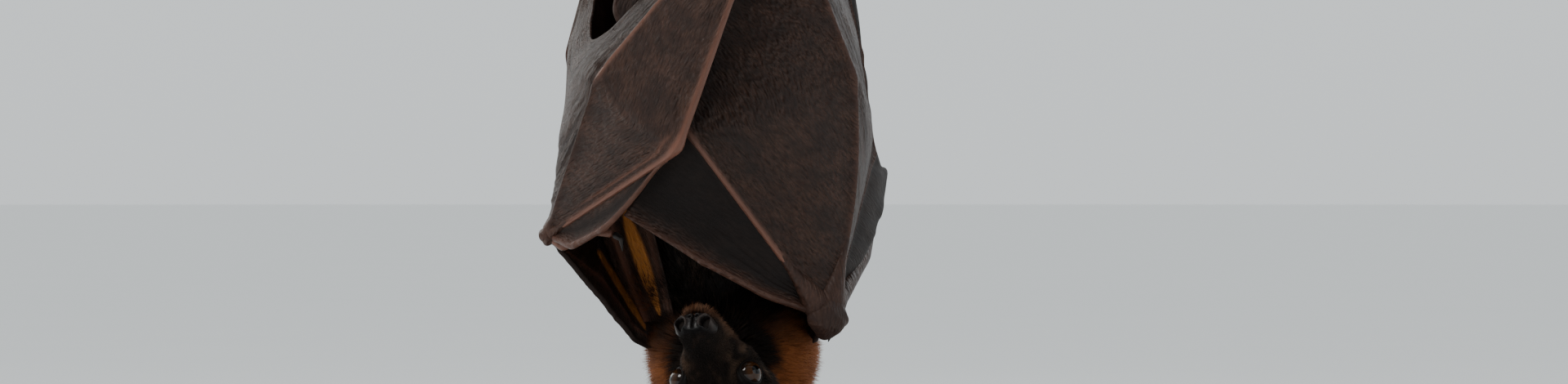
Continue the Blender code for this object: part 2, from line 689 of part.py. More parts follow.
def build_foot(side):
    """A foot whose five toes hook over the branch from behind, and its claws."""
    ankle = Vector(LEGS[side]["ankle"])
    thick = perch_line((ankle.x - 2.0) / PERCH_LONG + 0.5)[1]
    track = thick + GAP + (TOE_RADIUS + 0.25) * MM

    def sole_shape(share, angle):
        level = -math.cos(math.pi * share)
        ring = math.sqrt(max(0.0, 1 - level * level))
        wide = ring * math.cos(angle) * (5.9 + 2.0 * level)
        spot = Vector((wide, ring * math.sin(angle) * 3.6, level * 12.5))
        return place(ankle + Vector((0.0, 1.0, 7.0)) + spot)

    foot = blob("foot_" + side, sole_shape, "bone_skin", around=10, along=6)
    claws = []
    for number in range(TOES):
        spread = (number - (TOES - 1) / 2) * TOE_APART
        x = ankle.x + spread
        start = place((ankle.x + 0.72 * spread, ankle.y + 2.0, ankle.z + 11.0))
        path = [start, *(toe_point(x, turn, track) for turn in (8.0, 34.0, 60.0, 86.0, 108.0))]
        radii = [1.9 * MM, 1.8 * MM, 1.7 * MM, 1.5 * MM, TOE_RADIUS * MM, 1.3 * MM]
        combine(foot, tube("toe", path, radii, "bone_skin", 6), "UNION")
        hook = [toe_point(x, turn, track + lift * MM) for turn, lift in CLAW_ARC]
        claws.append(tube(f"claw_{side}_{number + 1}", hook, [1.15 * MM, 1.0 * MM, 0.3 * MM], "claw", 6))
    cut(foot, bpy.data.objects["perch"])
    for hook in claws:
        cut(hook, foot)
    cut(bpy.data.objects["leg_" + side], foot)


# ---------------------------------------------------------------- the whole


def build():
    for obj in list(bpy.data.objects):
        bpy.data.objects.remove(obj)
    build_stand()
    build_perch()
    build_head()
    for side in ("l", "r"):
        build_leg(side)
        build_foot(side)
        build_arm(side)
        build_fingers(side)
        side_web(side)
        shoulder_web(side)
    hand_web("l", "index", "finger_3", 3, scallop(0.0), -1.5)
    hand_web("l", "finger_3", "finger_4", 6, scallop(0.06), 2.0)
    hand_web("l", "finger_4", "finger_5", 8, scallop(0.556, 0.5), 5.0)
    hand_web("r", "index", "finger_3", 4, scallop(0.0), -3.0)
    hand_web("r", "finger_3", "finger_4", 6, scallop(0.08), 6.0)
    hand_web("r", "finger_4", "finger_5", 5, scallop(0.10), 3.0)


build()
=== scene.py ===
"""The finished look of a flying fox that hangs head down from a cut branch, wrapped in its wings.

The sizes in millimetres are places on the bat: place() turns them into metres in the model's frame. Its
left side is at -X, its belly faces -Y and its head hangs at the bottom.
"""

import math

import bmesh
import bpy
import numpy as np
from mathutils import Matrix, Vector
from mathutils.kdtree import KDTree


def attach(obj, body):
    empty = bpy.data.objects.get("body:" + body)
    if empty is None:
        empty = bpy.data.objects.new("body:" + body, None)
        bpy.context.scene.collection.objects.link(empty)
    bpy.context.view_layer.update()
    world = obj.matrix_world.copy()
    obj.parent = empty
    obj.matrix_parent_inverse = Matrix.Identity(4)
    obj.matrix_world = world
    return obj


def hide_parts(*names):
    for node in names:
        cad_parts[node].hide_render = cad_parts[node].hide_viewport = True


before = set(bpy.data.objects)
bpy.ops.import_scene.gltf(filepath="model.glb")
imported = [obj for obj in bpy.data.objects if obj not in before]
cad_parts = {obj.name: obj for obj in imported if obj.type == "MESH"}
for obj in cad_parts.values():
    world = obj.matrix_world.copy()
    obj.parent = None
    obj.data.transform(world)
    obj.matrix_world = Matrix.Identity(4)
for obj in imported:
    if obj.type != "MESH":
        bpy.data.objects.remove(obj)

bl_info = {
    "name": "Hanging flying fox",
    "version": (1, 0, 0),
    "blender": (4, 5, 0),
    "location": "View3D > Sidebar > Flying fox",
    "description": "Wings, head, coat and stand of a hanging flying fox",
    "category": "Object",
}

MM = 0.001
HANG = np.array((0.0, -19.5, 0.0))  # the bat hangs this far in front of the middle of its base
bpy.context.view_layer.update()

# ---- the head's own frame: forward, to the bat's right, and up through the crown ----
EYES_MIDDLE = np.array((2.6, -40.0, 70.0))


def unit(v):
    """Vectors of length one."""
    v = np.asarray(v, float)
    return v / np.maximum(np.linalg.norm(v, axis=-1, keepdims=True), 1e-9)


HEAD_FORWARD = unit((-0.305, -0.757, 0.574))
HEAD_RIGHT = unit((0.947, -0.300, 0.109))
HEAD_UP = unit(np.cross(HEAD_RIGHT, HEAD_FORWARD))
HEAD_AXES = np.stack((HEAD_FORWARD, HEAD_RIGHT, HEAD_UP))
EYE_APART, EYE_UP, EYE_ON = 13.4, 1.0, -0.5
# forward, half width, top, bottom of the head at each station from the back of the skull to the nose
HEAD_STATIONS = (
    (-36.0, 0.0, -1.0, -1.0),
    (-33.0, 11.0, 8.0, -11.0),
    (-25.0, 17.2, 12.5, -16.5),
    (-14.0, 18.6, 13.6, -18.0),
    (-5.0, 17.4, 11.8, -18.0),
    (2.0, 14.8, 8.4, -17.0),
    (9.0, 11.6, 4.6, -15.8),
    (16.0, 9.6, 2.2, -14.8),
    (23.0, 8.8, 1.2, -13.4),
    (28.0, 7.8, -0.4, -11.8),
    (31.5, 0.0, -5.6, -5.6),
)
NOSTRIL_APART = 5.2

# ---- trunk: height, half width, half depth, and how far its middle is set back ----
TRUNK_STATIONS = (
    (80.0, 0.0, 0.0, 2.0),
    (86.0, 20.0, 17.0, 3.0),
    (98.0, 30.0, 26.0, 4.0),
    (120.0, 33.0, 29.0, 5.0),
    (150.0, 33.0, 29.0, 6.0),
    (185.0, 30.0, 27.0, 6.0),
    (225.0, 26.0, 23.0, 6.0),
    (255.0, 21.0, 18.0, 7.0),
    (270.0, 13.0, 12.0, 8.0),
    (275.0, 0.0, 0.0, 8.0),
)
TRUNK_X = 3.0
TRUNK_AXIS = np.array((TRUNK_X, 5.0, 0.0))
RUFF_MIDDLE, RUFF_RADII = np.array((9.0, -3.0, 77.0)), np.array((36.0, 31.0, 33.0))

# ---- where the joints of each wing and leg are ----
WINGS = {
    "l": {
        "shoulder": (-22.0, 5.0, 102.0),
        "elbow": (-50.0, 60.0, 168.0),
        "forearm_bow": (3.0, 0.0, -4.0),
        "wrist": (-64.5, -26.0, 125.3),
        "wrist_radius": 4.3,
        "neck": (-25.5, -12.0, 77.0),
        "thumb": ((-58.5, -28.0, 121.0), (-46.0, -40.0, 127.0), (-38.0, -44.0, 126.0)),
        "thumb_claw": ((-38.0, -44.0, 126.0), (-34.8, -45.0, 124.0), (-34.2, -44.0, 119.0)),
        "index": ((-54.5, -41.0, 121.0), (-41.0, -58.0, 128.0), (-16.0, -83.0, 151.0)),
        "finger_3": ((-12.2, -86.0, 158.5), (11.0, -84.0, 222.0), (24.0, -56.0, 297.0)),
        "finger_4": ((-42.3, -72.0, 188.5), (-10.0, -80.0, 227.0), (5.0, -62.0, 284.0)),
        "finger_5": ((-56.5, -6.0, 201.0), (-46.0, -9.0, 240.0), (-34.0, -13.0, 277.0)),
    },
    "r": {
        "shoulder": (26.0, 5.0, 102.0),
        "elbow": (61.0, 60.0, 156.0),
        "forearm_bow": (8.0, 0.0, -5.0),
        "wrist": (46.6, -44.0, 93.3),
        "wrist_radius": 9.2,
        "neck": (42.0, -16.0, 82.0),
        "thumb": ((50.0, -33.0, 89.0), (51.5, -22.0, 88.0), (50.0, -10.0, 87.0)),
        "thumb_claw": ((50.0, -10.0, 87.0), (49.0, -5.0, 86.0), (47.5, -3.0, 82.0)),
        "index": ((22.0, -53.0, 102.0), (-2.0, -57.0, 115.0), (-33.0, -53.0, 134.0)),
        "finger_3": ((-7.5, -63.0, 165.5), (-38.0, -35.0, 214.0), (-16.0, -30.0, 287.0)),
        "finger_4": ((57.5, -40.0, 189.0), (40.0, -54.0, 235.0), (26.0, -42.0, 284.0)),
        "finger_5": ((65.5, 18.0, 158.0), (60.5, 8.0, 198.0), (52.5, 0.0, 238.0)),
    },
}
LEGS = {
    "l": {"hip": (-9.0, 6.0, 256.0), "knee": (-27.0, 20.0, 302.0), "ankle": (-16.5, 15.0, 351.0)},
    "r": {"hip": (15.0, 6.0, 256.0), "knee": (33.0, 20.0, 302.0), "ankle": (20.5, 15.0, 351.0)},
}
HAND_BOWS = {("l", "finger_5"): (4.0, 0.0, 0.0), ("r", "finger_4"): (5.0, 0.0, 0.0)}
KNUCKLE, MIDDLE_JOINT = 0.42, 0.72  # shares of a finger's length where its joints are
INDEX_REACH = {"l": 0.385, "r": 0.44}  # how far along the third finger the index's own skin reaches
SIDE_BULGE = {"l": 6.0, "r": 13.0}  # how far the skin at the flank stands out
# each hand web: first finger, second finger, depth and roundness of its free edge, belly
HAND_WEBS = {
    "l": (("finger_3", "finger_4", 0.06, 1.0, 2.0), ("finger_4", "finger_5", 0.556, 0.5, 5.0)),
    "r": (("finger_3", "finger_4", 0.08, 1.0, 6.0), ("finger_4", "finger_5", 0.10, 1.0, 3.0)),
}
INDEX_BELLY = {"l": -1.5, "r": -3.0}
TOES, TOE_APART, TOE_RADIUS = 5, 3.9, 1.55
CLAW_ARC = ((100.0, -0.2), (120.0, 0.3), (142.0, 0.5), (160.0, 0.2), (174.0, -0.3))

# ---- stand and perch ----
BASE_WIDE, BASE_DEEP, BASE_THICK, BASE_CORNER = 200.0, 216.0, 14.0, 22.0
ROD_X, ROD_BACK, ROD_BEND, ROD_RADIUS, ROD_BEND_STEPS = 2.0, 86.0, 20.0, 4.0, 12
COLLAR_RADIUS, COLLAR_LONG = 8.5, 7.0
PERCH_X, PERCH_Z, PERCH_RADIUS, PERCH_LONG = 2.0, 374.0, 10.5, 188.0
KNOTS = ((1.5, (24.0, -7.0, 7.0)), (1.2, (163.0, -9.0, -2.0)))  # height, and place on the branch
GAP = 0.3  # between parts of the stand that touch


# ---------------------------------------------------------------- places, lines and noise


def place(points):
    """Places on the bat, given in millimetres, as points of the model's frame in metres."""
    return (np.asarray(points, float) + HANG) * MM


def in_head(points):
    """Places given in the head's own frame, in millimetres, as places on the bat."""
    return EYES_MIDDLE + np.asarray(points, float) @ HEAD_AXES


def to_head(points):
    """Places on the bat in the head's own frame."""
    return (np.asarray(points, float) - EYES_MIDDLE) @ HEAD_AXES.T


def rise(value, low, high):
    """0 below low, 1 above high, and smooth between."""
    share = np.clip((np.asarray(value, float) - low) / (high - low), 0.0, 1.0)
    return share * share * (3.0 - 2.0 * share)


def hump(value, middle, wide):
    """1 at the middle, fading out over the width."""
    return np.exp(-(((np.asarray(value, float) - middle) / wide) ** 2))


def lumps(points, size, seed=0):
    """Smooth random lumps between -1 and 1, about as large as size: one number, or one for each axis."""
    lattice = np.random.default_rng(seed).uniform(-1.0, 1.0, (32, 32, 32))
    spot = np.asarray(points, float) / np.asarray(size, float)
    cell = np.floor(spot).astype(int)
    share = spot - cell
    share = share * share * (3.0 - 2.0 * share)
    total = 0.0
    for corner in np.ndindex(2, 2, 2):
        weight = np.prod(np.where(np.array(corner) == 1, share, 1.0 - share), axis=-1)
        index = (cell + np.array(corner)) % 32
        total = total + weight * lattice[index[..., 0], index[..., 1], index[..., 2]]
    return total


def between(stations, value):
    """Reads a table of stations smoothly for an array of places along it."""
    rows = np.array(stations, float)
    place_along = rows[:, 0]
    value = np.clip(value, place_along[0], place_along[-1])
    number = np.clip(np.searchsorted(place_along, value, side="left") - 1, 0, len(rows) - 2)
    low, high = rows[number], rows[number + 1]
    before, after = rows[np.maximum(number - 1, 0)], rows[np.minimum(number + 2, len(rows) - 1)]
    gap = high[:, :1] - low[:, :1]
    s = (value[:, None] - low[:, :1]) / gap
    up = (high - before) / (high[:, :1] - before[:, :1]) * gap
    down = (after - low) / (after[:, :1] - low[:, :1]) * gap
    up = np.where(number[:, None] == 0, 1.6 * (high - low), up)
    down = np.where(number[:, None] == len(rows) - 2, 1.6 * (high - low), down)
    found = low * (2 * s**3 - 3 * s**2 + 1) + up * (s**3 - 2 * s**2 + s)
    found += high * (3 * s**2 - 2 * s**3) + down * (s**3 - s**2)
    return found[:, 1:]


def read_along(share, shares, rows):
    """Reads rows of places, given at shares of a line's length, at other shares of it."""
    return np.stack([np.interp(share, shares, rows[:, k]) for k in range(3)], -1)


def grid(rows, columns, low=0.0, high=1.0):
    """Two arrays, rows by columns: how far each spot is along the rows, and how far across the columns."""
    return np.meshgrid(np.linspace(low, high, rows), np.linspace(low, high, columns), indexing="ij")


class Line:
    """A line of straight stretches with rounded corners, and a thickness that swells at its joints."""

    STEPS, ROUND = 1001, 24  # places that are kept along the line, and how many of them a corner takes

    def __init__(self, stops, radii=((0.0, 0.0), (1.0, 0.0)), joints=(), swell=0.0, bow=(0.0, 0.0, 0.0)):
        self.shares = np.linspace(0.0, 1.0, self.STEPS)
        stations, spots = zip(*stops)
        self.points = read_along(self.shares, stations, np.array(spots, float))
        arch = np.sin(np.pi * np.clip(self.shares / stations[1], 0.0, 1.0))
        self.points += arch[:, None] * np.array(bow)
        first, last, half = self.ROUND, self.STEPS - self.ROUND, self.ROUND // 2
        shifts = (-self.ROUND, -half, 0, half, self.ROUND)
        self.points[first:last] = sum(self.points[first + k : last + k] for k in shifts) / len(shifts)
        knobs = sum(hump(self.shares, joint, 0.022) for joint in joints)
        stations, sizes = zip(*radii)
        self.radii = np.interp(self.shares, stations, sizes) * (1.0 + swell * knobs)

    def at(self, share):
        """Places at shares of the line's length."""
        return read_along(share, self.shares, self.points)

    def thick(self, share):
        """Half thicknesses at shares of the line's length."""
        return np.interp(share, self.shares, self.radii)


def finger_line(side, finger):
    """A finger from the wrist to its tip."""
    wing = WINGS[side]
    spots = [wing["wrist"], *wing[finger]]
    if finger == "index":
        radii = ((0.0, 1.1), (0.2, 1.5), (0.6, 1.2), (1.0, 0.9))
        return Line(list(zip((0.0, 0.25, 0.56, 1.0), spots)), radii, (0.56,), 0.25)
    shaft = 1.9 if (finger, side) == ("finger_3", "l") else 1.5
    radii = ((0.0, 0.9), (0.1, 1.7), (KNUCKLE, shaft), (MIDDLE_JOINT, 0.8 * shaft), (1.0, 0.6))
    bow = HAND_BOWS.get((side, finger), (0.0, 0.0, 0.0))
    stops = list(zip((0.0, KNUCKLE, MIDDLE_JOINT, 1.0), spots))
    return Line(stops, radii, (KNUCKLE, MIDDLE_JOINT), 0.45, bow)


def flank_line(side):
    """Where the wing skin ends at the body: wrist, elbow, down the upper arm, up the flank, knee, ankle."""
    wing, leg = WINGS[side], LEGS[side]
    out = -1.0 if side == "l" else 1.0
    low, high = (TRUNK_X + 25.0 * out, 22.0, 138.0), (TRUNK_X + 18.0 * out, 17.0, 238.0)
    spots = (wing["wrist"], wing["elbow"], low, high, leg["knee"], leg["ankle"])
    return Line(list(zip((0.0, 0.36, 0.48, 0.68, 0.85, 1.0), spots)), bow=wing["forearm_bow"])


def arm_line(side):
    """The outer arm as the wing skin follows it: wrist, elbow, shoulder."""
    wing = WINGS[side]
    stops = list(zip((0.0, 0.55, 1.0), (wing[k] for k in ("wrist", "elbow", "shoulder"))))
    return Line(stops, bow=wing["forearm_bow"])


# ---------------------------------------------------------------- meshes


def object_from(name, bm, *looks):
    """A named, smooth object from a bmesh in the model's frame, with its finishes.

    Its faces are put in the order of their vertices, because some operators give another order on each run.
    """
    count = len(bm.verts)
    bm.verts.index_update()
    bm.faces.sort(key=lambda face: face.verts[0].index * count + face.verts[1].index)
    mesh = bpy.data.meshes.new(name)
    bm.to_mesh(mesh)
    bm.free()
    mesh.shade_smooth()
    for look in looks:
        mesh.materials.append(look)
    made = bpy.data.objects.new(name, mesh)
    bpy.context.scene.collection.objects.link(made)
    return made


def drop(obj):
    """Removes an object and its mesh."""
    mesh = obj.data
    bpy.data.objects.remove(obj)
    bpy.data.meshes.remove(mesh)


def places_of(obj, item="vertices", part="co"):
    """The places of a mesh's vertices, or the normals of its vertices or faces, as rows of numbers."""
    held = getattr(obj.data, item)
    rows = np.zeros(len(held) * 3, np.float32)
    held.foreach_get(part, rows)
    return rows.reshape(-1, 3).astype(float)


def put(obj, rows):
    """Gives a mesh's vertices new places."""
    obj.data.vertices.foreach_set("co", np.asarray(rows, np.float32).ravel())
    obj.data.update()


def mark(obj, name, values):
    """Keeps one number for each vertex of a mesh, for its finish to read."""
    field = obj.data.attributes.get(name) or obj.data.attributes.new(name, "FLOAT", "POINT")
    field.data.foreach_set("value", np.asarray(values, np.float32).ravel())


def lay_chart(obj, spots, name="Chart"):
    """Lays a mesh out flat, with one spot on the chart for each of its vertices."""
    corners = np.zeros(len(obj.data.loops), np.int32)
    obj.data.loops.foreach_get("vertex_index", corners)
    layer = obj.data.uv_layers.new(name=name)
    layer.data.foreach_set("uv", spots[corners].astype(np.float32).ravel())


def keep_outside(obj):
    """Turns a closed mesh's faces outward if its volume comes out negative."""
    bm = bmesh.new()
    bm.from_mesh(obj.data)
    if bm.calc_volume(signed=True) < 0:
        bmesh.ops.reverse_faces(bm, faces=bm.faces)
    bm.to_mesh(obj.data)
    bm.free()
    return obj


def double_sheet(name, front, back, look, marks=None, chart=None):
    """A closed skin between two arrays of places, rows by columns, in millimetres on the bat.

    A mark is one array for both sides, or an outer and an inner one.
    """
    rows, columns = front.shape[:2]
    bm = bmesh.new()
    for level in (0.0, -0.1):
        made = bmesh.ops.create_grid(bm, x_segments=columns - 1, y_segments=rows - 1, size=1.0)
        bmesh.ops.translate(bm, verts=made["verts"], vec=(0.0, 0.0, level))
        if level < 0:
            lower = set(made["verts"])
            bmesh.ops.reverse_faces(bm, faces=[f for f in bm.faces if f.verts[0] in lower])
    bmesh.ops.bridge_loops(bm, edges=[e for e in bm.edges if e.is_boundary])
    skin = object_from(name, bm, look)
    flat = places_of(skin)
    column = np.rint((flat[:, 0] + 1.0) / 2.0 * (columns - 1)).astype(int)
    row = np.rint((flat[:, 1] + 1.0) / 2.0 * (rows - 1)).astype(int)
    upper = flat[:, 2] > -0.05
    put(skin, place(np.where(upper[:, None], front[row, column], back[row, column])))
    for key, values in (marks or {}).items():
        outer, inner = values if values.ndim == 3 else (values, values)
        mark(skin, key, np.where(upper, outer[row, column], inner[row, column]))
    if chart is not None:
        lay_chart(skin, chart[row, column])
    return keep_outside(skin)


def globe(name, shape, look, around=48, along=32):
    """A closed form from a globe, whose points shape(share along, angle round) puts in place on the bat."""
    bm = bmesh.new()
    bmesh.ops.create_uvsphere(bm, u_segments=around, v_segments=along, radius=1.0)
    made = object_from(name, bm, look)
    flat = places_of(made)
    share = np.arccos(np.clip(-flat[:, 2], -1.0, 1.0)) / np.pi
    put(made, place(shape(share, np.arctan2(flat[:, 1], flat[:, 0]))))
    return keep_outside(made)


def frames_along(points):
    """Two directions across a line at each of its points, turning as little as they can."""
    ahead = unit(np.gradient(points, axis=0))
    across = [unit(np.cross(ahead[0], (0.0, 0.0, 1.0) if abs(ahead[0][2]) < 0.9 else (1.0, 0.0, 0.0)))]
    for way in ahead[1:]:
        across.append(unit(across[-1] - way * np.dot(across[-1], way)))
    across = np.array(across)
    return across, np.cross(ahead, across)


def rod(name, points, radii, look, around=16, along=24, relief=None):
    """A round closed rod of changing thickness through the points, with rounded ends."""
    points, radii = np.array(points, float), np.array(radii, float)
    run = np.concatenate(([0.0], np.cumsum(np.linalg.norm(np.diff(points, axis=0), axis=1))))
    share = np.linspace(0.0, 1.0, 400)
    fine = read_along(share, run / run[-1], points)
    for _ in range(24):
        fine[1:-1] = (fine[:-2] + 2 * fine[1:-1] + fine[2:]) / 4
    across, up = frames_along(fine)
    thick = np.interp(share, run / run[-1], radii)
    to_start = share * run[-1] / max(radii[0], 1e-3)
    to_end = (1 - share) * run[-1] / max(radii[-1], 1e-3)
    cap = np.minimum(1.0, np.minimum(to_start, to_end))
    thick = thick * np.sqrt(np.clip(1.0 - (1.0 - cap) ** 2, 0.0, 1.0))

    def shape(part, angle):
        size = np.interp(part, share, thick)
        if relief is not None:
            size = size * relief(part, angle)
        middle, side, over = (read_along(part, share, rows) for rows in (fine, across, up))
        return middle + size[:, None] * (np.cos(angle)[:, None] * side + np.sin(angle)[:, None] * over)

    return globe(name, shape, look, around, along)


def join(name, parts):
    """Several meshes as one object, whose finishes keep their places."""
    bm = bmesh.new()
    looks = []
    for part in parts:
        start = len(bm.faces)
        bm.from_mesh(part.data)
        bm.faces.ensure_lookup_table()
        for look in part.data.materials:
            if look not in looks:
                looks.append(look)
        turn = [looks.index(look) for look in part.data.materials]
        for face in bm.faces[start:]:
            face.material_index = turn[face.material_index]
    made = object_from(name, bm, *looks)
    for part in parts:
        drop(part)
    return made


def melt(obj, voxel, rounds):
    """Melts overlapping forms into one closed skin and smooths it."""
    remesh = obj.modifiers.new("melt", "REMESH")
    remesh.mode = "VOXEL"
    remesh.voxel_size = voxel * MM
    remesh.use_smooth_shade = True
    bpy.context.view_layer.update()
    looks = list(obj.data.materials)
    mesh = bpy.data.meshes.new_from_object(obj.evaluated_get(bpy.context.evaluated_depsgraph_get()))
    obj.modifiers.clear()
    obj.data = mesh
    if not mesh.materials:
        for look in looks:
            mesh.materials.append(look)
    soften(obj, rounds)
    return keep_outside(obj)


def soften(obj, rounds, share=0.6):
    """Draws each vertex of a mesh toward the middle of its neighbours."""
    edges = np.zeros(len(obj.data.edges) * 2, np.int32)
    obj.data.edges.foreach_get("vertices", edges)
    edges = edges.reshape(-1, 2)
    spots = places_of(obj)
    count = np.bincount(edges.ravel(), minlength=len(spots))[:, None]
    for _ in range(rounds):
        total = np.zeros_like(spots)
        for k in range(3):
            total[:, k] = np.bincount(edges[:, 0], spots[edges[:, 1], k], len(spots))
            total[:, k] += np.bincount(edges[:, 1], spots[edges[:, 0], k], len(spots))
        spots += share * (total / count - spots)
    put(obj, spots)


def on_bat(obj):
    """The vertices of a mesh as places on the bat, in millimetres."""
    return places_of(obj) / MM - HANG


def ready(obj, slot, *nodes):
    """Lets a finished piece ride on the frame in place of its nodes."""
    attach(obj, "root")
    if nodes:
        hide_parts(*nodes)


# ---------------------------------------------------------------- finishes


def dimmed(colour, share):
    """A darker or lighter shade of a colour."""
    return tuple(share * part for part in colour)


class Finish:
    """A Principled material whose node tree is built step by step."""

    def __init__(self, name, **fixed):
        self.material = bpy.data.materials.new(name)
        self.material.use_nodes = True
        self.tree = self.material.node_tree
        self.shader = self.tree.nodes["Principled BSDF"]
        for key, value in fixed.items():
            self.shader.inputs[key.replace("_", " ")].default_value = value

    def node(self, kind, sockets=None, **settings):
        """A node with its settings, and its sockets linked or filled in."""
        made = self.tree.nodes.new("ShaderNode" + kind)
        for key, value in settings.items():
            setattr(made, key, value)
        for key, value in (sockets or {}).items():
            if isinstance(value, bpy.types.NodeSocket):
                self.tree.links.new(value, made.inputs[key])
            else:
                made.inputs[key].default_value = value
        return made

    def sum(self, operation, first, second=0.0):
        """What a Math node makes of one or two numbers."""
        return self.node("Math", {0: first, 1: second}, operation=operation).outputs[0]

    def span(self, value, low, high, start=0.0, end=1.0):
        """A number that goes smoothly from start to end as the value goes from low to high."""
        keys = {"Value": value, "From Min": low, "From Max": high, "To Min": start, "To Max": end}
        return self.node("MapRange", keys, interpolation_type="SMOOTHSTEP").outputs[0]

    def mix(self, share, first, second, blend="MIX"):
        """A mix of two colours."""
        made = self.node("Mix", data_type="RGBA", blend_type=blend)
        for socket, value in ((made.inputs[0], share), (made.inputs[6], first), (made.inputs[7], second)):
            if isinstance(value, bpy.types.NodeSocket):
                self.tree.links.new(value, socket)
            else:
                socket.default_value = (*value, 1.0) if isinstance(value, tuple) else value
        return made.outputs[2]

    def field(self, name):
        """A number kept in the mesh."""
        return self.node("Attribute", attribute_name=name).outputs["Fac"]

    def spots(self, scale=(1.0, 1.0, 1.0), turn=(0.0, 0.0, 0.0), chart=False):
        """Places on the piece, or on its own chart, stretched and turned."""
        source = self.node("TexCoord").outputs["UV" if chart else "Object"]
        return self.node("Mapping", {"Vector": source, "Scale": scale, "Rotation": turn}).outputs[0]

    def noise(self, where, scale, detail=3.0, rough=0.5, distortion=0.0):
        """Cloudy noise."""
        keys = {"Vector": where, "Scale": scale, "Detail": detail, "Roughness": rough}
        return self.node("TexNoise", {**keys, "Distortion": distortion}).outputs["Fac"]

    def cells(self, where, scale, feature="F1"):
        """The distance to the middle or the edge of a cell."""
        keys = {"Vector": where, "Scale": scale}
        return self.node("TexVoronoi", keys, feature=feature).outputs["Distance"]

    def bump(self, height, distance, strength=1.0, over=None):
        """A relief of a given height in metres, over another one if there is one."""
        keys = {"Height": height, "Distance": distance, "Strength": strength}
        if over is not None:
            keys["Normal"] = over
        return self.node("Bump", keys).outputs[0]

    def set(self, **sockets):
        """Links what has been made to the shader."""
        for key, value in sockets.items():
            self.tree.links.new(value, self.shader.inputs[key.replace("_", " ")])


def wing_finish(name, look, turn, pebbles):
    """Thin dark skin, red over the bones: long fine wrinkles that lie at a turn, and pebbles between them."""
    made = Finish(name, Roughness=0.5, Specular_IOR_Level=0.25)
    bone, thin = made.field("bone"), made.field("thin")

    def stretched_chart(across, along, slant=0.0):
        return made.spots((across, along, 1.0), (0.0, 0.0, slant), chart=True)

    flat = stretched_chart(1.0, 1.0)
    streaks = made.noise(stretched_chart(104.0, 24.0, turn), 1.0, 4.0, 0.62, 0.6)
    dimples = made.cells(stretched_chart(118.0, 42.0, 1.3 * turn), 1.0, "SMOOTH_F1")
    patches = made.noise(flat, 9.0, 3.0, 0.55)
    grain = made.noise(flat, 240.0, 2.0, 0.6)
    veins = made.cells(stretched_chart(14.0, 8.0, turn), 1.0, "DISTANCE_TO_EDGE")
    dark, pale, red = tuple(look.skin_dark), tuple(look.skin_pale), tuple(look.bone_red)
    colour = made.mix(made.span(patches, 0.3, 0.72), dark, pale)
    colour = made.mix(made.span(streaks, 0.35, 0.75, 0.0, 0.35), colour, dimmed(dark, 0.45))
    colour = made.mix(made.span(dimples, 0.30, 0.62, 0.0, 0.5 * pebbles), colour, dimmed(dark, 0.4))
    colour = made.mix(made.span(veins, 0.0, 0.035, 0.22, 0.0), colour, dimmed(red, 0.3))
    colour = made.mix(made.sum("MULTIPLY", bone, made.span(grain, 0.2, 0.8, 0.75, 1.0)), colour, red)
    # painted shade: the shade mark darkens the colour toward near black
    colour = made.mix(made.sum("MULTIPLY", made.field("shade"), 0.95), colour, dimmed(dark, 0.14))
    # painted glow: where the thin mark is set, the orange of skin lit from behind is put in the colour
    colour = made.mix(thin, colour, tuple(look.painted_glow))
    taut = made.sum("MAXIMUM", bone, made.field("calm"))
    wrinkles = made.sum("SUBTRACT", 1.0, made.sum("MULTIPLY", taut, 0.95))
    first = made.bump(made.sum("MULTIPLY", streaks, wrinkles), 0.0009, 1.0)
    uneven = made.sum("MULTIPLY", wrinkles, made.span(patches, 0.3, 0.65, 0.35 * pebbles, pebbles))
    second = made.bump(made.sum("MULTIPLY", dimples, uneven), 0.0015, 1.0, first)
    third = made.bump(grain, 0.00006, 0.8, second)
    roughness = made.span(made.sum("ADD", grain, made.sum("MULTIPLY", streaks, 0.6)), 0.5, 1.1, 0.35, 0.54)
    roughness = made.sum("ADD", roughness, made.sum("MULTIPLY", made.field("shade"), 0.3))
    roughness = made.sum("SUBTRACT", roughness, made.sum("MULTIPLY", bone, 0.08))
    made.set(Base_Color=colour, Normal=third, Roughness=roughness)
    return made.material


def fur_colours(made, look):
    """The markings that skin and coat share: dark fur, rusty ruff, pale frosting."""
    rust, frost = made.field("rust"), made.field("frost")
    colour = made.mix(rust, tuple(look.fur_dark), tuple(look.fur_rust))
    return made.mix(frost, colour, tuple(look.fur_frost))


def under_fur(name, look):
    """The skin under the coat, streaked like short fur."""
    made = Finish(name, Roughness=0.8, Specular_IOR_Level=0.2)
    streaks = made.noise(made.spots((900.0, 900.0, 260.0)), 1.0, 3.0, 0.6, 0.5)
    base = fur_colours(made, look)
    shade = made.mix(made.span(streaks, 0.3, 0.7), (0.25, 0.25, 0.25), (0.75, 0.75, 0.75))
    made.set(Base_Color=made.mix(1.0, base, shade, "MULTIPLY"), Normal=made.bump(streaks, 0.0004, 0.9))
    return made.material


def coat_finish(name, look):
    """Strands of fur, dark at the root, each its own shade."""
    made = Finish(name, Roughness=0.6, Specular_IOR_Level=0.16)
    tone, tip = made.field("tone"), made.field("tip")
    base = fur_colours(made, look)
    shade = made.mix(made.span(tip, 0.0, 0.75), (0.28, 0.25, 0.24), (1.15, 1.15, 1.15))
    toned = made.mix(1.0, base, shade, "MULTIPLY")
    light = made.mix(tone, (0.55, 0.52, 0.50), (1.5, 1.5, 1.5))
    fine = made.noise(made.spots(), 900.0, 1.0, 0.5)
    light = made.mix(made.span(fine, 0.3, 0.7, 0.0, 0.25), light, (0.6, 0.6, 0.6))
    made.set(Base_Color=made.mix(1.0, toned, light, "MULTIPLY"))
    return made.material


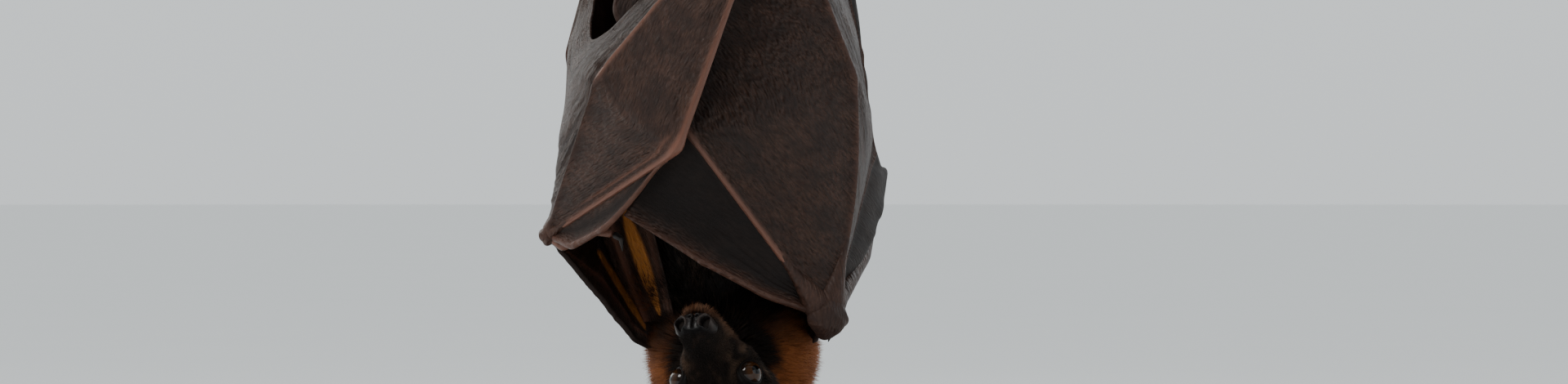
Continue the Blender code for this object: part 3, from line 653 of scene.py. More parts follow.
def naked_finish(name, colour, second, moist, size, shine):
    """Bare dark skin, such as nose, lids and toes, with fine grain and creases."""
    made = Finish(name, Roughness=0.5, Specular_IOR_Level=shine, Coat_Weight=moist, Coat_Roughness=0.3)
    where = made.spots()
    cells = made.cells(where, 0.9 / size)
    patches = made.noise(where, 260.0, 3.0, 0.6)
    base = made.mix(made.span(patches, 0.35, 0.65), colour, second)
    base = made.mix(made.span(cells, 0.1, 0.6, 0.5, 0.0), base, dimmed(colour, 0.4))
    # the nostril rims are paler on one side: partly their own brownish skin, partly a painted highlight
    base = made.mix(made.sum("MULTIPLY", made.field("rim"), 0.6), base, (0.060, 0.043, 0.037))
    # painted shade: near black in the nostrils and darker in the groove; the pad's far side is darker too
    base = made.mix(made.field("pit"), base, (0.002, 0.0015, 0.0015))
    first = made.bump(cells, 0.6 * size, 0.5)
    second_bump = made.bump(made.noise(where, 3000.0, 2.0, 0.5), 0.00006, 0.6, first)
    made.set(Base_Color=base, Normal=second_bump, Roughness=made.span(patches, 0.3, 0.7, 0.42, 0.62))
    return made.material


def eye_finish(name, look):
    """A wet brown eye: round pupil, streaked iris, dark rim."""
    made = Finish(name, Roughness=0.04, Specular_IOR_Level=0.3)
    gaze, turn = made.field("gaze"), made.field("turn")
    keys = {"X": made.sum("MULTIPLY", turn, 26.0), "Y": made.sum("MULTIPLY", gaze, 1.5)}
    wave = made.node("CombineXYZ", keys)
    streaks = made.noise(wave.outputs[0], 1.0, 2.0, 0.6)
    iris = made.mix(made.span(streaks, 0.3, 0.7), dimmed(look.iris, 0.45), tuple(look.iris))
    iris = made.mix(made.span(gaze, 0.62, 0.92), iris, (0.012, 0.007, 0.005))
    made.set(Base_Color=made.mix(made.span(gaze, 0.30, 0.36), (0.002, 0.002, 0.002), iris))
    return made.material


def horn_finish(name):
    """Dark horn of the claws, streaked along and paler at the root."""
    made = Finish(name, Roughness=0.4, Specular_IOR_Level=0.25)
    streaks = made.noise(made.spots((1500.0, 500.0, 500.0)), 1.0, 3.0, 0.6)
    made.set(
        Base_Color=made.mix(made.span(streaks, 0.3, 0.7), (0.005, 0.004, 0.0036), (0.018, 0.012, 0.009)),
        Normal=made.bump(streaks, 0.00008, 0.6),
        Roughness=made.span(streaks, 0.3, 0.7, 0.32, 0.5),
    )
    return made.material


def bark_finish(name):
    """Grey brown bark, cracked along the branch, with pale specks."""
    made = Finish(name, Roughness=0.9, Specular_IOR_Level=0.2)
    cracks = made.cells(made.spots((55.0, 320.0, 320.0)), 1.0, "SMOOTH_F1")
    rough = made.noise(made.spots((120.0, 420.0, 420.0)), 1.0, 5.0, 0.65, 0.6)
    blotch = made.noise(made.spots(), 60.0, 3.0, 0.6)
    colour = made.mix(made.span(rough, 0.3, 0.7), (0.050, 0.034, 0.024), (0.165, 0.125, 0.092))
    colour = made.mix(made.span(blotch, 0.52, 0.68, 0.0, 0.7), colour, (0.210, 0.190, 0.155))
    colour = made.mix(made.span(cracks, 0.02, 0.35, 0.8, 0.0), colour, (0.022, 0.015, 0.011))
    height = made.sum("ADD", made.sum("MULTIPLY", cracks, 0.7), rough)
    made.set(Base_Color=colour, Normal=made.bump(height, 0.0011, 0.9))
    return made.material


def cut_wood_finish(name):
    """The sawn ends of the branch, with year rings about its middle."""
    made = Finish(name, Roughness=0.75, Specular_IOR_Level=0.25)
    to_middle = (0.0, -HANG[1] * MM, -PERCH_Z * MM)
    keys = {"Location": to_middle, "Vector": made.node("TexCoord").outputs["Object"]}
    where = made.node("Mapping", keys).outputs[0]
    flat = made.node("Mapping", {"Vector": where, "Scale": (0.02, 1.0, 1.0)}).outputs[0]
    length = made.node("VectorMath", {0: flat}, operation="LENGTH").outputs["Value"]
    wobble = made.sum("MULTIPLY", made.noise(where, 160.0, 2.0), 0.0012)
    rings = made.sum("SINE", made.sum("MULTIPLY", made.sum("ADD", length, wobble), 5200.0))
    colour = made.mix(made.span(rings, -0.6, 0.9), (0.30, 0.19, 0.105), (0.46, 0.32, 0.19))
    colour = made.mix(made.span(length, 0.0085, 0.0098), colour, (0.07, 0.045, 0.03))
    made.set(Base_Color=colour, Normal=made.bump(rings, 0.00012, 0.5))
    return made.material


def base_finish(name, look):
    """Dark satin wood of the base, with a quiet grain."""
    made = Finish(name, Roughness=0.42, Specular_IOR_Level=0.4, Coat_Weight=0.25, Coat_Roughness=0.3)
    grain = made.noise(made.spots((9.0, 150.0, 60.0)), 1.0, 4.0, 0.6, 1.2)
    pores = made.noise(made.spots((120.0, 1600.0, 400.0)), 1.0, 2.0, 0.5)
    dark = tuple(look.base_colour)
    colour = made.mix(made.span(grain, 0.3, 0.7), dark, dimmed(dark, 1.9))
    colour = made.mix(made.span(pores, 0.62, 0.75, 0.0, 0.5), colour, dimmed(dark, 0.4))
    roughness = made.span(grain, 0.2, 0.8, 0.36, 0.5)
    made.set(Base_Color=colour, Normal=made.bump(pores, 0.00008, 0.5), Roughness=roughness)
    return made.material


def steel_finish(name):
    """Brushed steel of the rod and collars."""
    made = Finish(name, Metallic=1.0, Roughness=0.3)
    brush = made.noise(made.spots((2600.0, 2600.0, 120.0)), 1.0, 3.0, 0.6)
    made.set(
        Base_Color=made.mix(made.span(brush, 0.3, 0.7), (0.46, 0.46, 0.47), (0.62, 0.62, 0.63)),
        Roughness=made.span(brush, 0.3, 0.7, 0.26, 0.4),
        Normal=made.bump(brush, 0.00003, 0.4),
    )
    return made.material


# bare skins: darker and paler colour, wetness, size of the grain in metres, shine
BARE_SKINS = {
    "nose": ((0.007, 0.0052, 0.0049), (0.016, 0.0115, 0.0108), 0.2, 0.0005, 0.14),
    "lid": ((0.004, 0.003, 0.0026), (0.009, 0.006, 0.005), 0.0, 0.00025, 0.12),
    "ear": ((0.022, 0.014, 0.012), (0.050, 0.030, 0.024), 0.0, 0.0005, 0.35),
    "toe": ((0.024, 0.016, 0.014), (0.060, 0.036, 0.028), 0.0, 0.0008, 0.35),
}
LOOKS = {}


def looks():
    """Every finish, made once from the colours in the panel."""
    if not LOOKS:
        look = bpy.context.scene.fox_colours
        LOOKS["wing_l"] = wing_finish("wing_skin_l", look, math.radians(-8.0), 0.7)
        LOOKS["wing_r"] = wing_finish("wing_skin_r", look, math.radians(24.0), 1.0)
        LOOKS["under"] = under_fur("under_fur", look)
        LOOKS["coat"] = coat_finish("coat", look)
        for name, values in BARE_SKINS.items():
            LOOKS[name] = naked_finish(name + "_skin", *values)
        LOOKS["eye"] = eye_finish("eye", look)
        LOOKS["claw"] = horn_finish("claw_horn")
        LOOKS["bark"] = bark_finish("bark")
        LOOKS["cut"] = cut_wood_finish("cut_wood")
        LOOKS["base"] = base_finish("base_wood", look)
        LOOKS["steel"] = steel_finish("brushed_steel")
    return LOOKS


# ---------------------------------------------------------------- wings

BONE_STEPS = (0.0, 0.35, 0.7, 1.0, 1.35, 1.8, 2.4)  # columns beside a bone, in its own radii
BONE_EDGE = 0.42  # the share of a web's width that a bone's columns may take
RIM_STEPS = (0.35, 0.7, 0.95)  # columns round the outer side of a leading bone, in its own radii
SKIN_HALF = 0.32  # half the thickness of the bare wing skin
CHART_MM = 100.0  # millimetres of skin to one unit of its chart


def hand_panel(side, web, share, part):
    """The skin between two fingers of a hand: share runs along them, part from one to the other."""
    first, second, depth, roundness, belly = web
    near, far = finger_line(side, first), finger_line(side, second)
    start = 0.06
    edge = 1.0 - depth * np.maximum(0.0, np.sin(np.pi * part)) ** roundness
    here = np.where(share > start, start + (share - start) * edge, share)
    return stretched(near, far, here, 1.0, share, start, part, belly)


def stretched(near, far, here, reach, share, start, part, belly):
    """Points between two bones, with the skin's belly outward."""
    a, b = near.at(here), far.at(here * reach)
    ahead = near.at(here + 0.02) - near.at(here - 0.02)
    outward = unit(np.cross(b - a, ahead))
    middle = (a + b) / 2 - TRUNK_AXIS
    away = np.sign(np.sum(outward[..., :2] * middle[..., :2]))
    along = np.clip((share - start) / (1.0 - start), 0.0, 1.0)
    bulge = belly * 4 * part * (1 - part) * np.sin(np.pi * (0.1 + 0.8 * along))
    return a + (b - a) * part[..., None] + outward * (away * bulge)[..., None]


def side_panel(side, share, part):
    """The skin from the little finger round the flank."""
    near, far = finger_line(side, "finger_5"), flank_line(side)
    out = np.array((-1.0 if side == "l" else 1.0, 0.35, 0.0))
    start = 0.11
    along = np.clip((share - start) / (1.0 - start), 0.0, 1.0)
    hem = 1 - 0.12 * np.sin(np.pi * part) * along**3
    here = np.where(share > start, start + (share - start) * hem, share)
    pleat = 0.8 * np.sin(part * np.pi * 4) * np.sin(np.pi * along)
    swell = SIDE_BULGE[side] * np.sin(np.pi * part) * np.maximum(0.0, np.sin(np.pi * along)) ** 0.7 + pleat
    a, b = near.at(here), far.at(here)
    return a + (b - a) * part[..., None] + out * swell[..., None]


def ridge(distance, radius):
    """How much of a bone's thickness shows at a distance from it."""
    near = np.abs(distance) / np.maximum(radius, 0.1)
    return 0.62 * np.exp(-((near / 1.05) ** 2.4)) + 0.38 * np.exp(-((near / 0.42) ** 1.7))


def beside_bone(radius, wide):
    """Where the columns beside a bone lie, as shares of the width of its web."""
    return [np.minimum(k * radius / wide, BONE_EDGE * k / BONE_STEPS[-1]) for k in BONE_STEPS]


def wing_sheet(side, rows, across, look):
    """Third finger, fourth finger, little finger and flank as one closed skin."""
    webs = HAND_WEBS[side]
    lines = [finger_line(side, f) for f in ("finger_3", "finger_4", "finger_5")] + [flank_line(side)]
    hand_bone = np.linalg.norm(lines[0].at(KNUCKLE) - lines[0].at(0.0))
    root = 0.6 * WINGS[side]["wrist_radius"] / hand_bone * KNUCKLE
    share = np.linspace(root, 1.0, rows)[:, None]
    along = share[:, 0]
    columns, bones, tints, reds = [], [], [], []
    # colour over the leading bone: on the left it stays strong past the knuckle, and there it is partly a
    # painted highlight
    worn = 1.0 - (0.1 if side == "l" else 0.6) * rise(along, KNUCKLE, KNUCKLE + 0.05)
    second_bone = rise(along, KNUCKLE - 0.02, KNUCKLE + 0.02) * (1 - rise(along, 0.68, 0.76))
    redness = (worn, 0.15 + 0.75 * second_bone if side == "l" else 0.22, 0.22)

    def bone_radius(number):
        return lines[number].thick(along) if number < len(redness) else np.full(rows, 0.6)

    for number in range(3):
        near, far = lines[number], lines[number + 1]
        r_near, r_far = bone_radius(number), bone_radius(number + 1)
        wide = np.linalg.norm(far.at(along) - near.at(along), axis=1)[:, None]
        low = beside_bone(r_near[:, None], wide)
        high = [1 - part for part in beside_bone(r_far[:, None], wide)[:0:-1]]
        steps = np.linspace(0.0, 1.0, across[number] + 2)[1:-1]
        middle = [low[-1] + (high[0] - low[-1]) * step for step in steps]
        for part in [*low, *middle, *high]:
            if number < 2:
                spot = hand_panel(side, webs[number], share, part)
            else:
                spot = side_panel(side, share, part)
            columns.append(spot[:, 0])
            off_near, off_far = (part * wide)[:, 0], ((1 - part) * wide)[:, 0]
            swell = np.maximum((r_near - SKIN_HALF) * ridge(off_near, r_near), 0.0)
            tint = hump(off_near / r_near, 0.0, 1.5)
            red = hump(off_near / r_near, 0.0, 0.62) * redness[number]
            if number < 2:
                swell = np.maximum(swell, (r_far - SKIN_HALF) * ridge(off_far, r_far))
                tint = np.maximum(tint, hump(off_far / r_far, 0.0, 1.5))
                red = np.maximum(red, redness[number + 1] * hump(off_far / r_far, 0.0, 0.62))
            if number == 0 and side == "l":  # a second fold of skin runs beside the leading bone
                fold = hump(off_near, 1.9 * r_near, 0.4 * r_near)
                fold = fold * rise(along, 0.08, 0.2) * (1 - rise(along, 0.40, 0.47))
                swell = swell + 0.8 * fold
                tint = np.maximum(tint, 0.55 * fold)
                red = np.maximum(red, 0.7 * fold)
                roll = 0.7 * hump(off_near, 0.7 * r_near, 1.1 * r_near)  # and past the knuckle a soft roll
                roll = roll - 0.4 * hump(off_near, 3.0 * r_near, 0.7 * r_near)
                swell = swell + rise(along, KNUCKLE + 0.01, KNUCKLE + 0.05) * roll
            bones.append(swell)
            tints.append(tint)
            reds.append(red)
    last = lines[3].at(along)
    columns.append(last + unit(last - columns[-1]) * 0.5)
    for marks in (bones, tints, reds):
        marks.append(np.zeros(rows))
    ahead = unit(columns[0] - columns[4])
    radius = bone_radius(0)
    for k in RIM_STEPS:
        columns.insert(0, lines[0].at(along) + ahead * (k * radius)[:, None])
        bones.insert(0, (radius - SKIN_HALF) * math.sqrt(1 - k * k))
        tints.insert(0, np.ones(rows))
        reds.insert(0, 0.8 * worn)
    spots = np.stack(columns, 1)
    bones, tints, reds = np.stack(bones, 1), np.stack(tints, 1), np.stack(reds, 1)
    shade, calm = np.zeros_like(tints), np.zeros_like(tints)
    calm[:, -(across[2] + 12) :] = 0.85  # the flank's skin is smoother, and on the right painted shade darkens it
    if side == "r":
        x, y, z = spots[..., 0], spots[..., 1], spots[..., 2]
        beside = x + 15.3 - 0.406 * (z - 159.0)  # how far it lies from the left hand's leading bone
        # a painted shadow of the left hand on the right wing's skin beside its leading bone
        left_hand_painted_shadow = 0.6 * (1.0 - rise(beside, 1.0, 19.0)) * rise(z, 150.0, 165.0) * (y < -20.0)
        shade = np.maximum(calm, left_hand_painted_shadow)
    wing = WINGS[side]
    knots = ((wing["finger_3"][0], 26.0), (wing["finger_4"][0], 20.0), (wing["wrist"], 14.0))
    marks = {"reds": reds, "shade": shade, "calm": calm, "knots": knots}
    return finish_sheet("wing_sheet_" + side, side, spots, bones, tints, share, look, **marks)


def finish_sheet(
    name, side, spots, bones, tints, share, look, thin=None, reds=None, shade=None, calm=None, knots=()
):
    """Gives a sheet of places its thickness, bones, wrinkles and hem.

    bones is how far the skin stands out over them and tints how taut and red it is there, unless reds says
    how red. share is how far each row is along the sheet. thin, shade and calm are marks for the finish: thin
    is where the orange glow of skin lit from behind is painted, shade where painted shade darkens the colour,
    and calm how far the wrinkles are smoothed.
    Wrinkles run out from the knots, each a place and a reach.
    """
    rows, count = spots.shape[:2]
    for _ in range(3):  # rounds the corners over the bones
        soft = spots.copy()
        soft[:, 1:-1] = (spots[:, :-2] + 2 * spots[:, 1:-1] + spots[:, 2:]) / 4
        near_bone = np.clip(tints * 1.4, 0.0, 1.0)[..., None]
        spots = spots + (soft - spots) * near_bone
    steps = np.linalg.norm(np.diff(spots, axis=1), axis=2)
    run = np.concatenate((np.zeros((rows, 1)), np.cumsum(steps, axis=1)), axis=1)
    rising = np.linalg.norm(np.diff(spots, axis=0), axis=2).mean(axis=1)
    tall = np.concatenate(([0.0], np.cumsum(rising)))[:, None] + np.zeros_like(run)
    normal = unit(np.cross(np.gradient(spots, axis=1), np.gradient(spots, axis=0)))
    middle = spots[rows // 2, count // 2] - TRUNK_AXIS
    if np.dot(normal[rows // 2, count // 2][:2], middle[:2]) < 0:
        normal = -normal
    turned = 0.4 if side == "r" else -0.15
    cos, sin = math.cos(turned), math.sin(turned)
    slant = np.stack((run * cos + tall * sin, tall * cos - run * sin, 0 * run), -1)
    free = 1.0 - np.clip(tints, 0.0, 1.0)
    fine = 0.34 * lumps(slant, (5.0, 13.0, 9.0), 4) * rise(lumps(slant, 30.0, 5), -0.5, 0.5)
    wave = 0.55 * lumps(slant, (15.0, 22.0, 9.0), 3) + fine
    for knot, reach in knots:  # wrinkles run out from a joint under the skin
        near = np.linalg.norm(spots - np.array(knot), axis=2)
        row, column = np.unravel_index(near.argmin(), near.shape)
        angle = np.arctan2(tall - tall[row, column], run - run[row, column])
        rays = np.sin(13.0 * angle + 2.0 * lumps(slant, 9.0, 8)) + 0.6 * np.sin(29.0 * angle + 1.0)
        wave = wave + 0.30 * rays * np.exp(-((near / reach) ** 1.5)) * rise(near, 1.0, 0.3 * reach)
    pucker = lumps(slant, (3.4, 8.0, 9.0), 6) * 0.22 * np.clip(3.2 * tints * (1 - tints), 0.0, 1.0)
    wave = (wave + pucker) * free * rise(share, 0.02, 0.12)
    half = SKIN_HALF + bones + 0.22 * hump(share, 1.0, 0.012)
    half = half * np.where(np.arange(count) == count - 1, 0.9, 1.0)[None, :]
    front = over_wrist(side, spots + normal * (wave + half)[..., None])
    back = over_wrist(side, spots + normal * (wave - half)[..., None])
    shade = np.zeros_like(tints) if shade is None else shade
    if side == "r":  # painted shade darkens the skin drawn over the folded wrist
        off_wrist = np.linalg.norm(spots - np.array(WINGS["r"]["wrist"]), axis=2)
        shade = np.maximum(shade, 0.75 * hump(off_wrist, 0.0, 9.0))
    marks = {
        "bone": np.clip(tints if reds is None else reds, 0, 1),
        "thin": np.zeros_like(tints) if thin is None else thin,
        "shade": shade,
        "calm": shade if calm is None else calm,
    }
    return double_sheet(name, front, back, look, marks, np.stack((run, tall), -1) / CHART_MM)


def over_wrist(side, spots):
    """Draws the skin over the folded wrist, so that the knob shows only as a shape under it."""
    wing = WINGS[side]
    off = spots - np.array(wing["wrist"])
    gap = np.maximum(np.linalg.norm(off, axis=-1, keepdims=True), 0.01)
    boxed = np.sum(np.abs(off / gap) ** 4.0, axis=-1, keepdims=True) ** (-0.25)  # squarer than a ball
    knob = 0.80 * wing["wrist_radius"] * boxed
    return np.array(wing["wrist"]) + off / gap * (gap**4 + knob**4) ** 0.25


def index_sheet(side, look, rows=70, across=34):
    """The narrow skin between the index and the third finger, with the index bone in its edge."""
    near, far = finger_line(side, "index"), finger_line(side, "finger_3")
    share = np.linspace(0.06, 1.0, rows)[:, None]
    reach = INDEX_REACH[side]
    wide = np.linalg.norm(far.at(share[:, 0] * reach) - near.at(share[:, 0]), axis=1)[:, None]
    radius = near.thick(share)
    low = beside_bone(radius, wide)
    middle = [low[-1] + (1.0 - low[-1]) * step for step in np.linspace(0.0, 1.0, across + 2)[1:]]
    columns, bones, tints = [], [], []
    worn = 0.4 if side == "l" else 0.2
    for part in [*low, *middle]:
        merge = (0.85 if side == "l" else 0.0) * rise(share, 0.6, 1.0) * (1.0 - part)
        spot = stretched(near, far, share, reach, share, 0.14, part + merge, INDEX_BELLY[side])
        columns.append(spot[:, 0])
        off = (part * wide)[:, 0]
        bones.append((radius[:, 0] - SKIN_HALF) * ridge(off, radius[:, 0]))
        tints.append(worn * hump(off / radius[:, 0], 0.0, 1.4))
    ahead, first = unit(columns[0] - columns[4]), columns[0]
    for k in RIM_STEPS:
        columns.insert(0, first + ahead * (k * radius))
        bones.insert(0, (radius[:, 0] - SKIN_HALF) * math.sqrt(1 - k * k))
        tints.insert(0, np.full(rows, worn))
    spots, bones, tints = np.stack(columns, 1), np.stack(bones, 1), np.stack(tints, 1)
    run = grid(*tints.shape)[1]
    if side == "l":
        # painted shade across the middle of the left index skin
        shade = 0.8 * hump(run, 0.48, 0.26)
    else:  # painted shade darkens the tucked-in skin below the third finger, which folds along its edge
        shade = 0.95 * rise(run, 0.10, 0.35) * (1.0 - 0.6 * rise(run, 0.93, 1.0))
        folds = hump(run, 0.36, 0.035) + 0.8 * hump(run, 0.52, 0.03) + 0.6 * hump(run, 0.66, 0.03)
        bones = bones + 0.6 * folds * (1.0 - rise(share, 0.35, 0.75)) * rise(share, 0.02, 0.1)
    return finish_sheet("index_sheet_" + side, side, spots, bones, tints, share, look, shade=shade)


# thin places of the left shoulder's skin with a painted backlit glow: X and Z of both ends, and half the
# width
SLITS = (((-45.5, 118.0), (-26.5, 88.0), 1.5), ((-32.5, 129.5), (-20.5, 94.0), 3.0))


def shoulder_sheet(side, look, rows=80, columns=60):
    """The skin in front of the arm: wrist, elbow and shoulder to the free edge from wrist to neck."""
    near, wing = arm_line(side), WINGS[side]
    wrist, neck = np.array(wing["wrist"]), np.array(wing["neck"])
    share, part = grid(rows, columns)
    share = 0.02 + 0.97 * share  # its ends stop short of the joints
    slack = 3.0 * np.sin(np.pi * part) * np.sin(np.pi * share)
    tuck = rise(share, 0.86, 1.0) * (1.0 if side == "l" else 0.0)  # its end is hidden in the ruff
    edge = wrist + (neck - wrist) * share[..., None] + np.array((3.5, 4.0, 1.0)) * tuck[..., None]
    spots = near.at(share) + (edge - near.at(share)) * part[..., None]
    spots[..., 2] -= slack
    hem = hump(part, 1.0, 0.035)
    cord = hump(part, 0.86, 0.022)  # a thin muscle runs beside the free edge
    bones = 0.8 * hem + 0.55 * cord
    tints = 0.35 * hem + 0.6 * cord
    thin = np.zeros_like(part)
    if side == "l":
        for (x0, z0), (x1, z1), half in SLITS:
            way = np.array((x1 - x0, z1 - z0))
            off = spots[..., (0, 2)] - np.array((x0, z0))
            along = np.clip((off @ way) / (way @ way), 0.0, 1.0)
            gap = np.linalg.norm(off - along[..., None] * way, axis=-1)
            taper = half * (0.45 + 0.55 * np.sin(np.pi * np.clip(along * 0.9 + 0.08, 0, 1)))
            thin = np.maximum(thin, 1.0 - rise(gap, 0.6 * taper, 1.15 * taper))
    thin = np.stack((0.12 * thin, thin))  # the painted glow is full on the inner side and faint on the outer
    # painted shade along the free edge, which also smooths the wrinkles there
    marks = {"thin": thin, "shade": 0.9 * hump(part, 1.0, 0.06)}
    return finish_sheet("shoulder_sheet_" + side, side, spots, bones, tints, share[:, :1], look, **marks)


def breast_sheet(look, rows=60, columns=34):
    """On the left, the thin fold of skin that runs on from the shoulder skin across to the breast."""
    share, part = grid(rows, columns)
    near = np.array((-50.5, 13.0, 138.5)) + share[..., None] * np.array((21.5, -12.0, -48.5))
    far = np.array((-27.5, -12.0, 147.5)) + share[..., None] * np.array((13.5, -4.0, -56.5))
    spots = near + (far - near) * part[..., None]
    spots[..., 1] += 3.0 * np.sin(np.pi * part) * np.sin(np.pi * share)
    strand = hump(part, 0.24, 0.07)
    middle = 0.56 + 0.10 * share
    half = np.maximum(0.17 * np.sin(np.pi * np.clip(share * 1.2 - 0.16, 0, 1)) ** 0.6, 1e-6)
    # painted glow of skin lit from behind along the fold's thin middle
    thin = 1.0 - rise(np.abs(part - middle), 0.65 * half, 1.1 * half)
    tints = 0.8 * strand + 0.3 * hump(part, 0.9, 0.05)
    return finish_sheet("breast_sheet", "l", spots, 1.1 * strand, tints, share[:, :1], look, thin)


def arm_pieces(side, look):
    """Forearm with the wrist's knob, and the thumb."""
    wing = WINGS[side]
    elbow, wrist, bow = (np.array(wing[k]) for k in ("elbow", "wrist", "forearm_bow"))
    knob = wing["wrist_radius"]
    tall = knob / np.linalg.norm(wrist - elbow)
    shares = [-0.03, 0.02, 0.10, 0.3, 0.55, 0.93 - tall]
    shares = np.array(shares + [1.0 + k * tall for k in (-0.9, -0.55, 0.0, 0.55, 0.93)])
    radii = [4.2, 5.8, 6.0, 5.2, 4.0, 3.4, max(3.4, 0.5 * knob)]
    radii += [k * knob for k in (0.74, 0.86, 0.72, 0.36)]
    bend = np.sin(np.pi * np.clip(shares, 0, 1))
    points = elbow + (wrist - elbow) * shares[:, None] + bow * bend[:, None]

    def relief(part, angle):
        ring = np.stack((np.cos(angle) * 4.0, np.sin(angle) * 4.0, part * 90.0), -1)
        tendon = 0.05 * np.cos(3 * angle + 0.6) * (1 - rise(part, 0.8, 0.95))
        boxed = 0.10 * np.cos(4 * angle + 0.5) + 0.16 * lumps(ring, (2.6, 2.6, 4.0), 12)
        return 1.0 + 0.05 * lumps(ring, (3.0, 3.0, 7.0), 11) + tendon + boxed * rise(part, 0.8, 0.9)

    forearm = rod("forearm_skin_" + side, points, radii, look, 64, 200, relief)
    thumb_line = [wing["wrist"], *wing["thumb"]]
    thumb = rod("thumb_skin_" + side, thumb_line, [1.8, 2.1, 1.7, 1.6], look, 32, 60)
    cones = []
    for finger in ("finger_3", "finger_4", "finger_5"):  # the hand bones fan out of the wrist
        way = unit(finger_line(side, finger).at(0.12) - wrist)
        path = [wrist + way * knob * k for k in (0.0, 0.7, 1.2, 1.8, 2.6, 3.6)]
        taper = [max(1.3, knob * k) for k in (0.66, 0.66, 0.52, 0.36, 0.22, 0.12)]
        cones.append(rod("hand_bone", path, taper, look, 32, 60))
    for piece, tint in ((forearm, 0.0), (thumb, 0.7), *((cone, 0.05) for cone in cones)):
        spots = on_bat(piece)
        knuckle = np.linalg.norm(spots - wrist, axis=1)
        mark(piece, "bone", np.clip(tint + 0.12 * hump(knuckle, knob, 0.5 * knob), 0, 1))
        mark(piece, "thin", np.zeros(len(spots)))
        # painted shade over the knob of the right wrist
        mark(piece, "shade", 0.75 * hump(knuckle, 0.0, 1.2 * knob) * (side == "r"))
        mark(piece, "calm", np.full(len(spots), 0.4))
        x, y, z = spots.T
        lay_chart(piece, np.stack((x + 0.6 * y, z - 0.5 * y), -1) / CHART_MM)
    return [forearm, thumb, *cones]


def build_wing(side):
    """One wing as a single object: hand, index skin, shoulder skin, forearm and thumb."""
    look = looks()["wing_" + side]
    parts = [
        wing_sheet(side, 170, (46, 42, 44), look),
        index_sheet(side, look),
        shoulder_sheet(side, look),
        *arm_pieces(side, look),
    ]
    if side == "l":
        parts.append(breast_sheet(look))
    wing = join("wing_" + side, parts)
    nodes = ["finger_3", "finger_4", "finger_5", "index", "index_web", "finger_3_web", "finger_4_web"]
    nodes += ["side_web", "shoulder_web", "forearm", "thumb"]
    ready(wing, "wing_skin", *(f"{name}_{side}" for name in nodes))


# ---------------------------------------------------------------- body, head and feet


def off_eyes(head):
    """How far places in the head's frame lie from the nearer eye."""
    eyes = [(EYE_ON, sign * EYE_APART, EYE_UP) for sign in (-1, 1)]
    return np.min([np.linalg.norm(head - eye, axis=1) for eye in eyes], axis=0)


def off_ruff(spots):
    """How far places lie from the middle of the ruff, in its own half sizes."""
    return np.linalg.norm((spots - RUFF_MIDDLE) / RUFF_RADII, axis=1)


def mouth_height(forward):
    """The height of the line of the mouth in the head's frame."""
    return -9.6 - 0.11 * (28.0 - forward)


def markings(spots):
    """How rusty and how frosted the fur is at places on the bat, the same for skin and coat."""
    head = to_head(spots)
    forward, right, up = head.T
    aside = np.sqrt(right**2 + (up + 3.0) ** 2)
    limit = -17.0 + (22.0 - 8.0 * rise(right, 8.0, 16.0)) * rise(aside, 19.0, 25.0)
    rust = (1.0 - rise(off_ruff(spots), 1.25, 1.75)) * (1.0 - rise(forward - limit, -5.0, 6.0))
    # the throat stays dark
    rust *= 1.0 - 0.9 * rise(spots[:, 2], 84.0, 96.0) * rise(-spots[:, 1], -2.0, 10.0)
    rust *= 1.0 - 0.75 * rise(forward, -16.0, -4.0) * rise(-up, 6.0, 15.0)
    rust = np.clip(rust + 0.35 * lumps(spots, 7.0, 21), 0.0, 1.0) * rise(rust, 0.05, 0.3)
    throat = rise(forward, 4.0, 18.0) * rise(-up, 6.0, 12.0)
    throat = throat * (1.0 - rise(np.linalg.norm(head, axis=1), 32.0, 38.0))
    rust = np.maximum(rust, 0.38 * throat)
    ring = hump(off_eyes(head), 9.5, 2.6) * rise(-up, -8.0, 4.0)
    cheek = hump(forward, 13.0, 9.0) * hump(np.abs(right), 10.0, 4.0)
    frost = np.clip(0.34 * ring + 0.24 * cheek + 0.6 * throat, 0.0, 1.0)
    frost = frost * np.clip(0.55 + 0.8 * lumps(spots, 3.0, 22), 0.0, 1.0)
    frost = np.maximum(frost, 0.12 * (1.0 - rust) * rise(lumps(spots, 2.0, 23), 0.2, 0.8))
    return rust, np.clip(frost, 0.0, 0.85)


def mark_fur(obj):
    """Keeps the fur's markings in a mesh."""
    rust, frost = markings(on_bat(obj))
    mark(obj, "rust", rust)
    mark(obj, "frost", frost)


def egg(middle, radii, turn=None):
    """A rounded form for globe(): its middle, its three half sizes and, where it leans, its axes."""

    def shape(share, angle):
        level, ring = -np.cos(np.pi * share), np.sin(np.pi * share)
        spot = np.stack((ring * np.cos(angle), ring * np.sin(angle), level), -1) * np.array(radii)
        return np.array(middle) + (spot if turn is None else spot @ turn)

    return shape


def trunk_shape(share, angle, depth=4.6):
    """The trunk under its coat, with a flatter back and a groove down the spine."""
    first, last = TRUNK_STATIONS[0][0], TRUNK_STATIONS[-1][0]
    height = first + (last - first) * (1 - np.cos(np.pi * share)) / 2
    wide, deep, back = between(TRUNK_STATIONS, height).T
    wide, deep = np.maximum(wide - depth, 0.0) * np.sin(np.pi * share) ** 0.2, np.maximum(deep - depth, 0.0)
    spine = 1.0 - 0.06 * hump(angle, math.pi / 2, 0.16)
    return np.stack((TRUNK_X + wide * np.cos(angle), back + deep * np.sin(angle) * spine, height), -1)


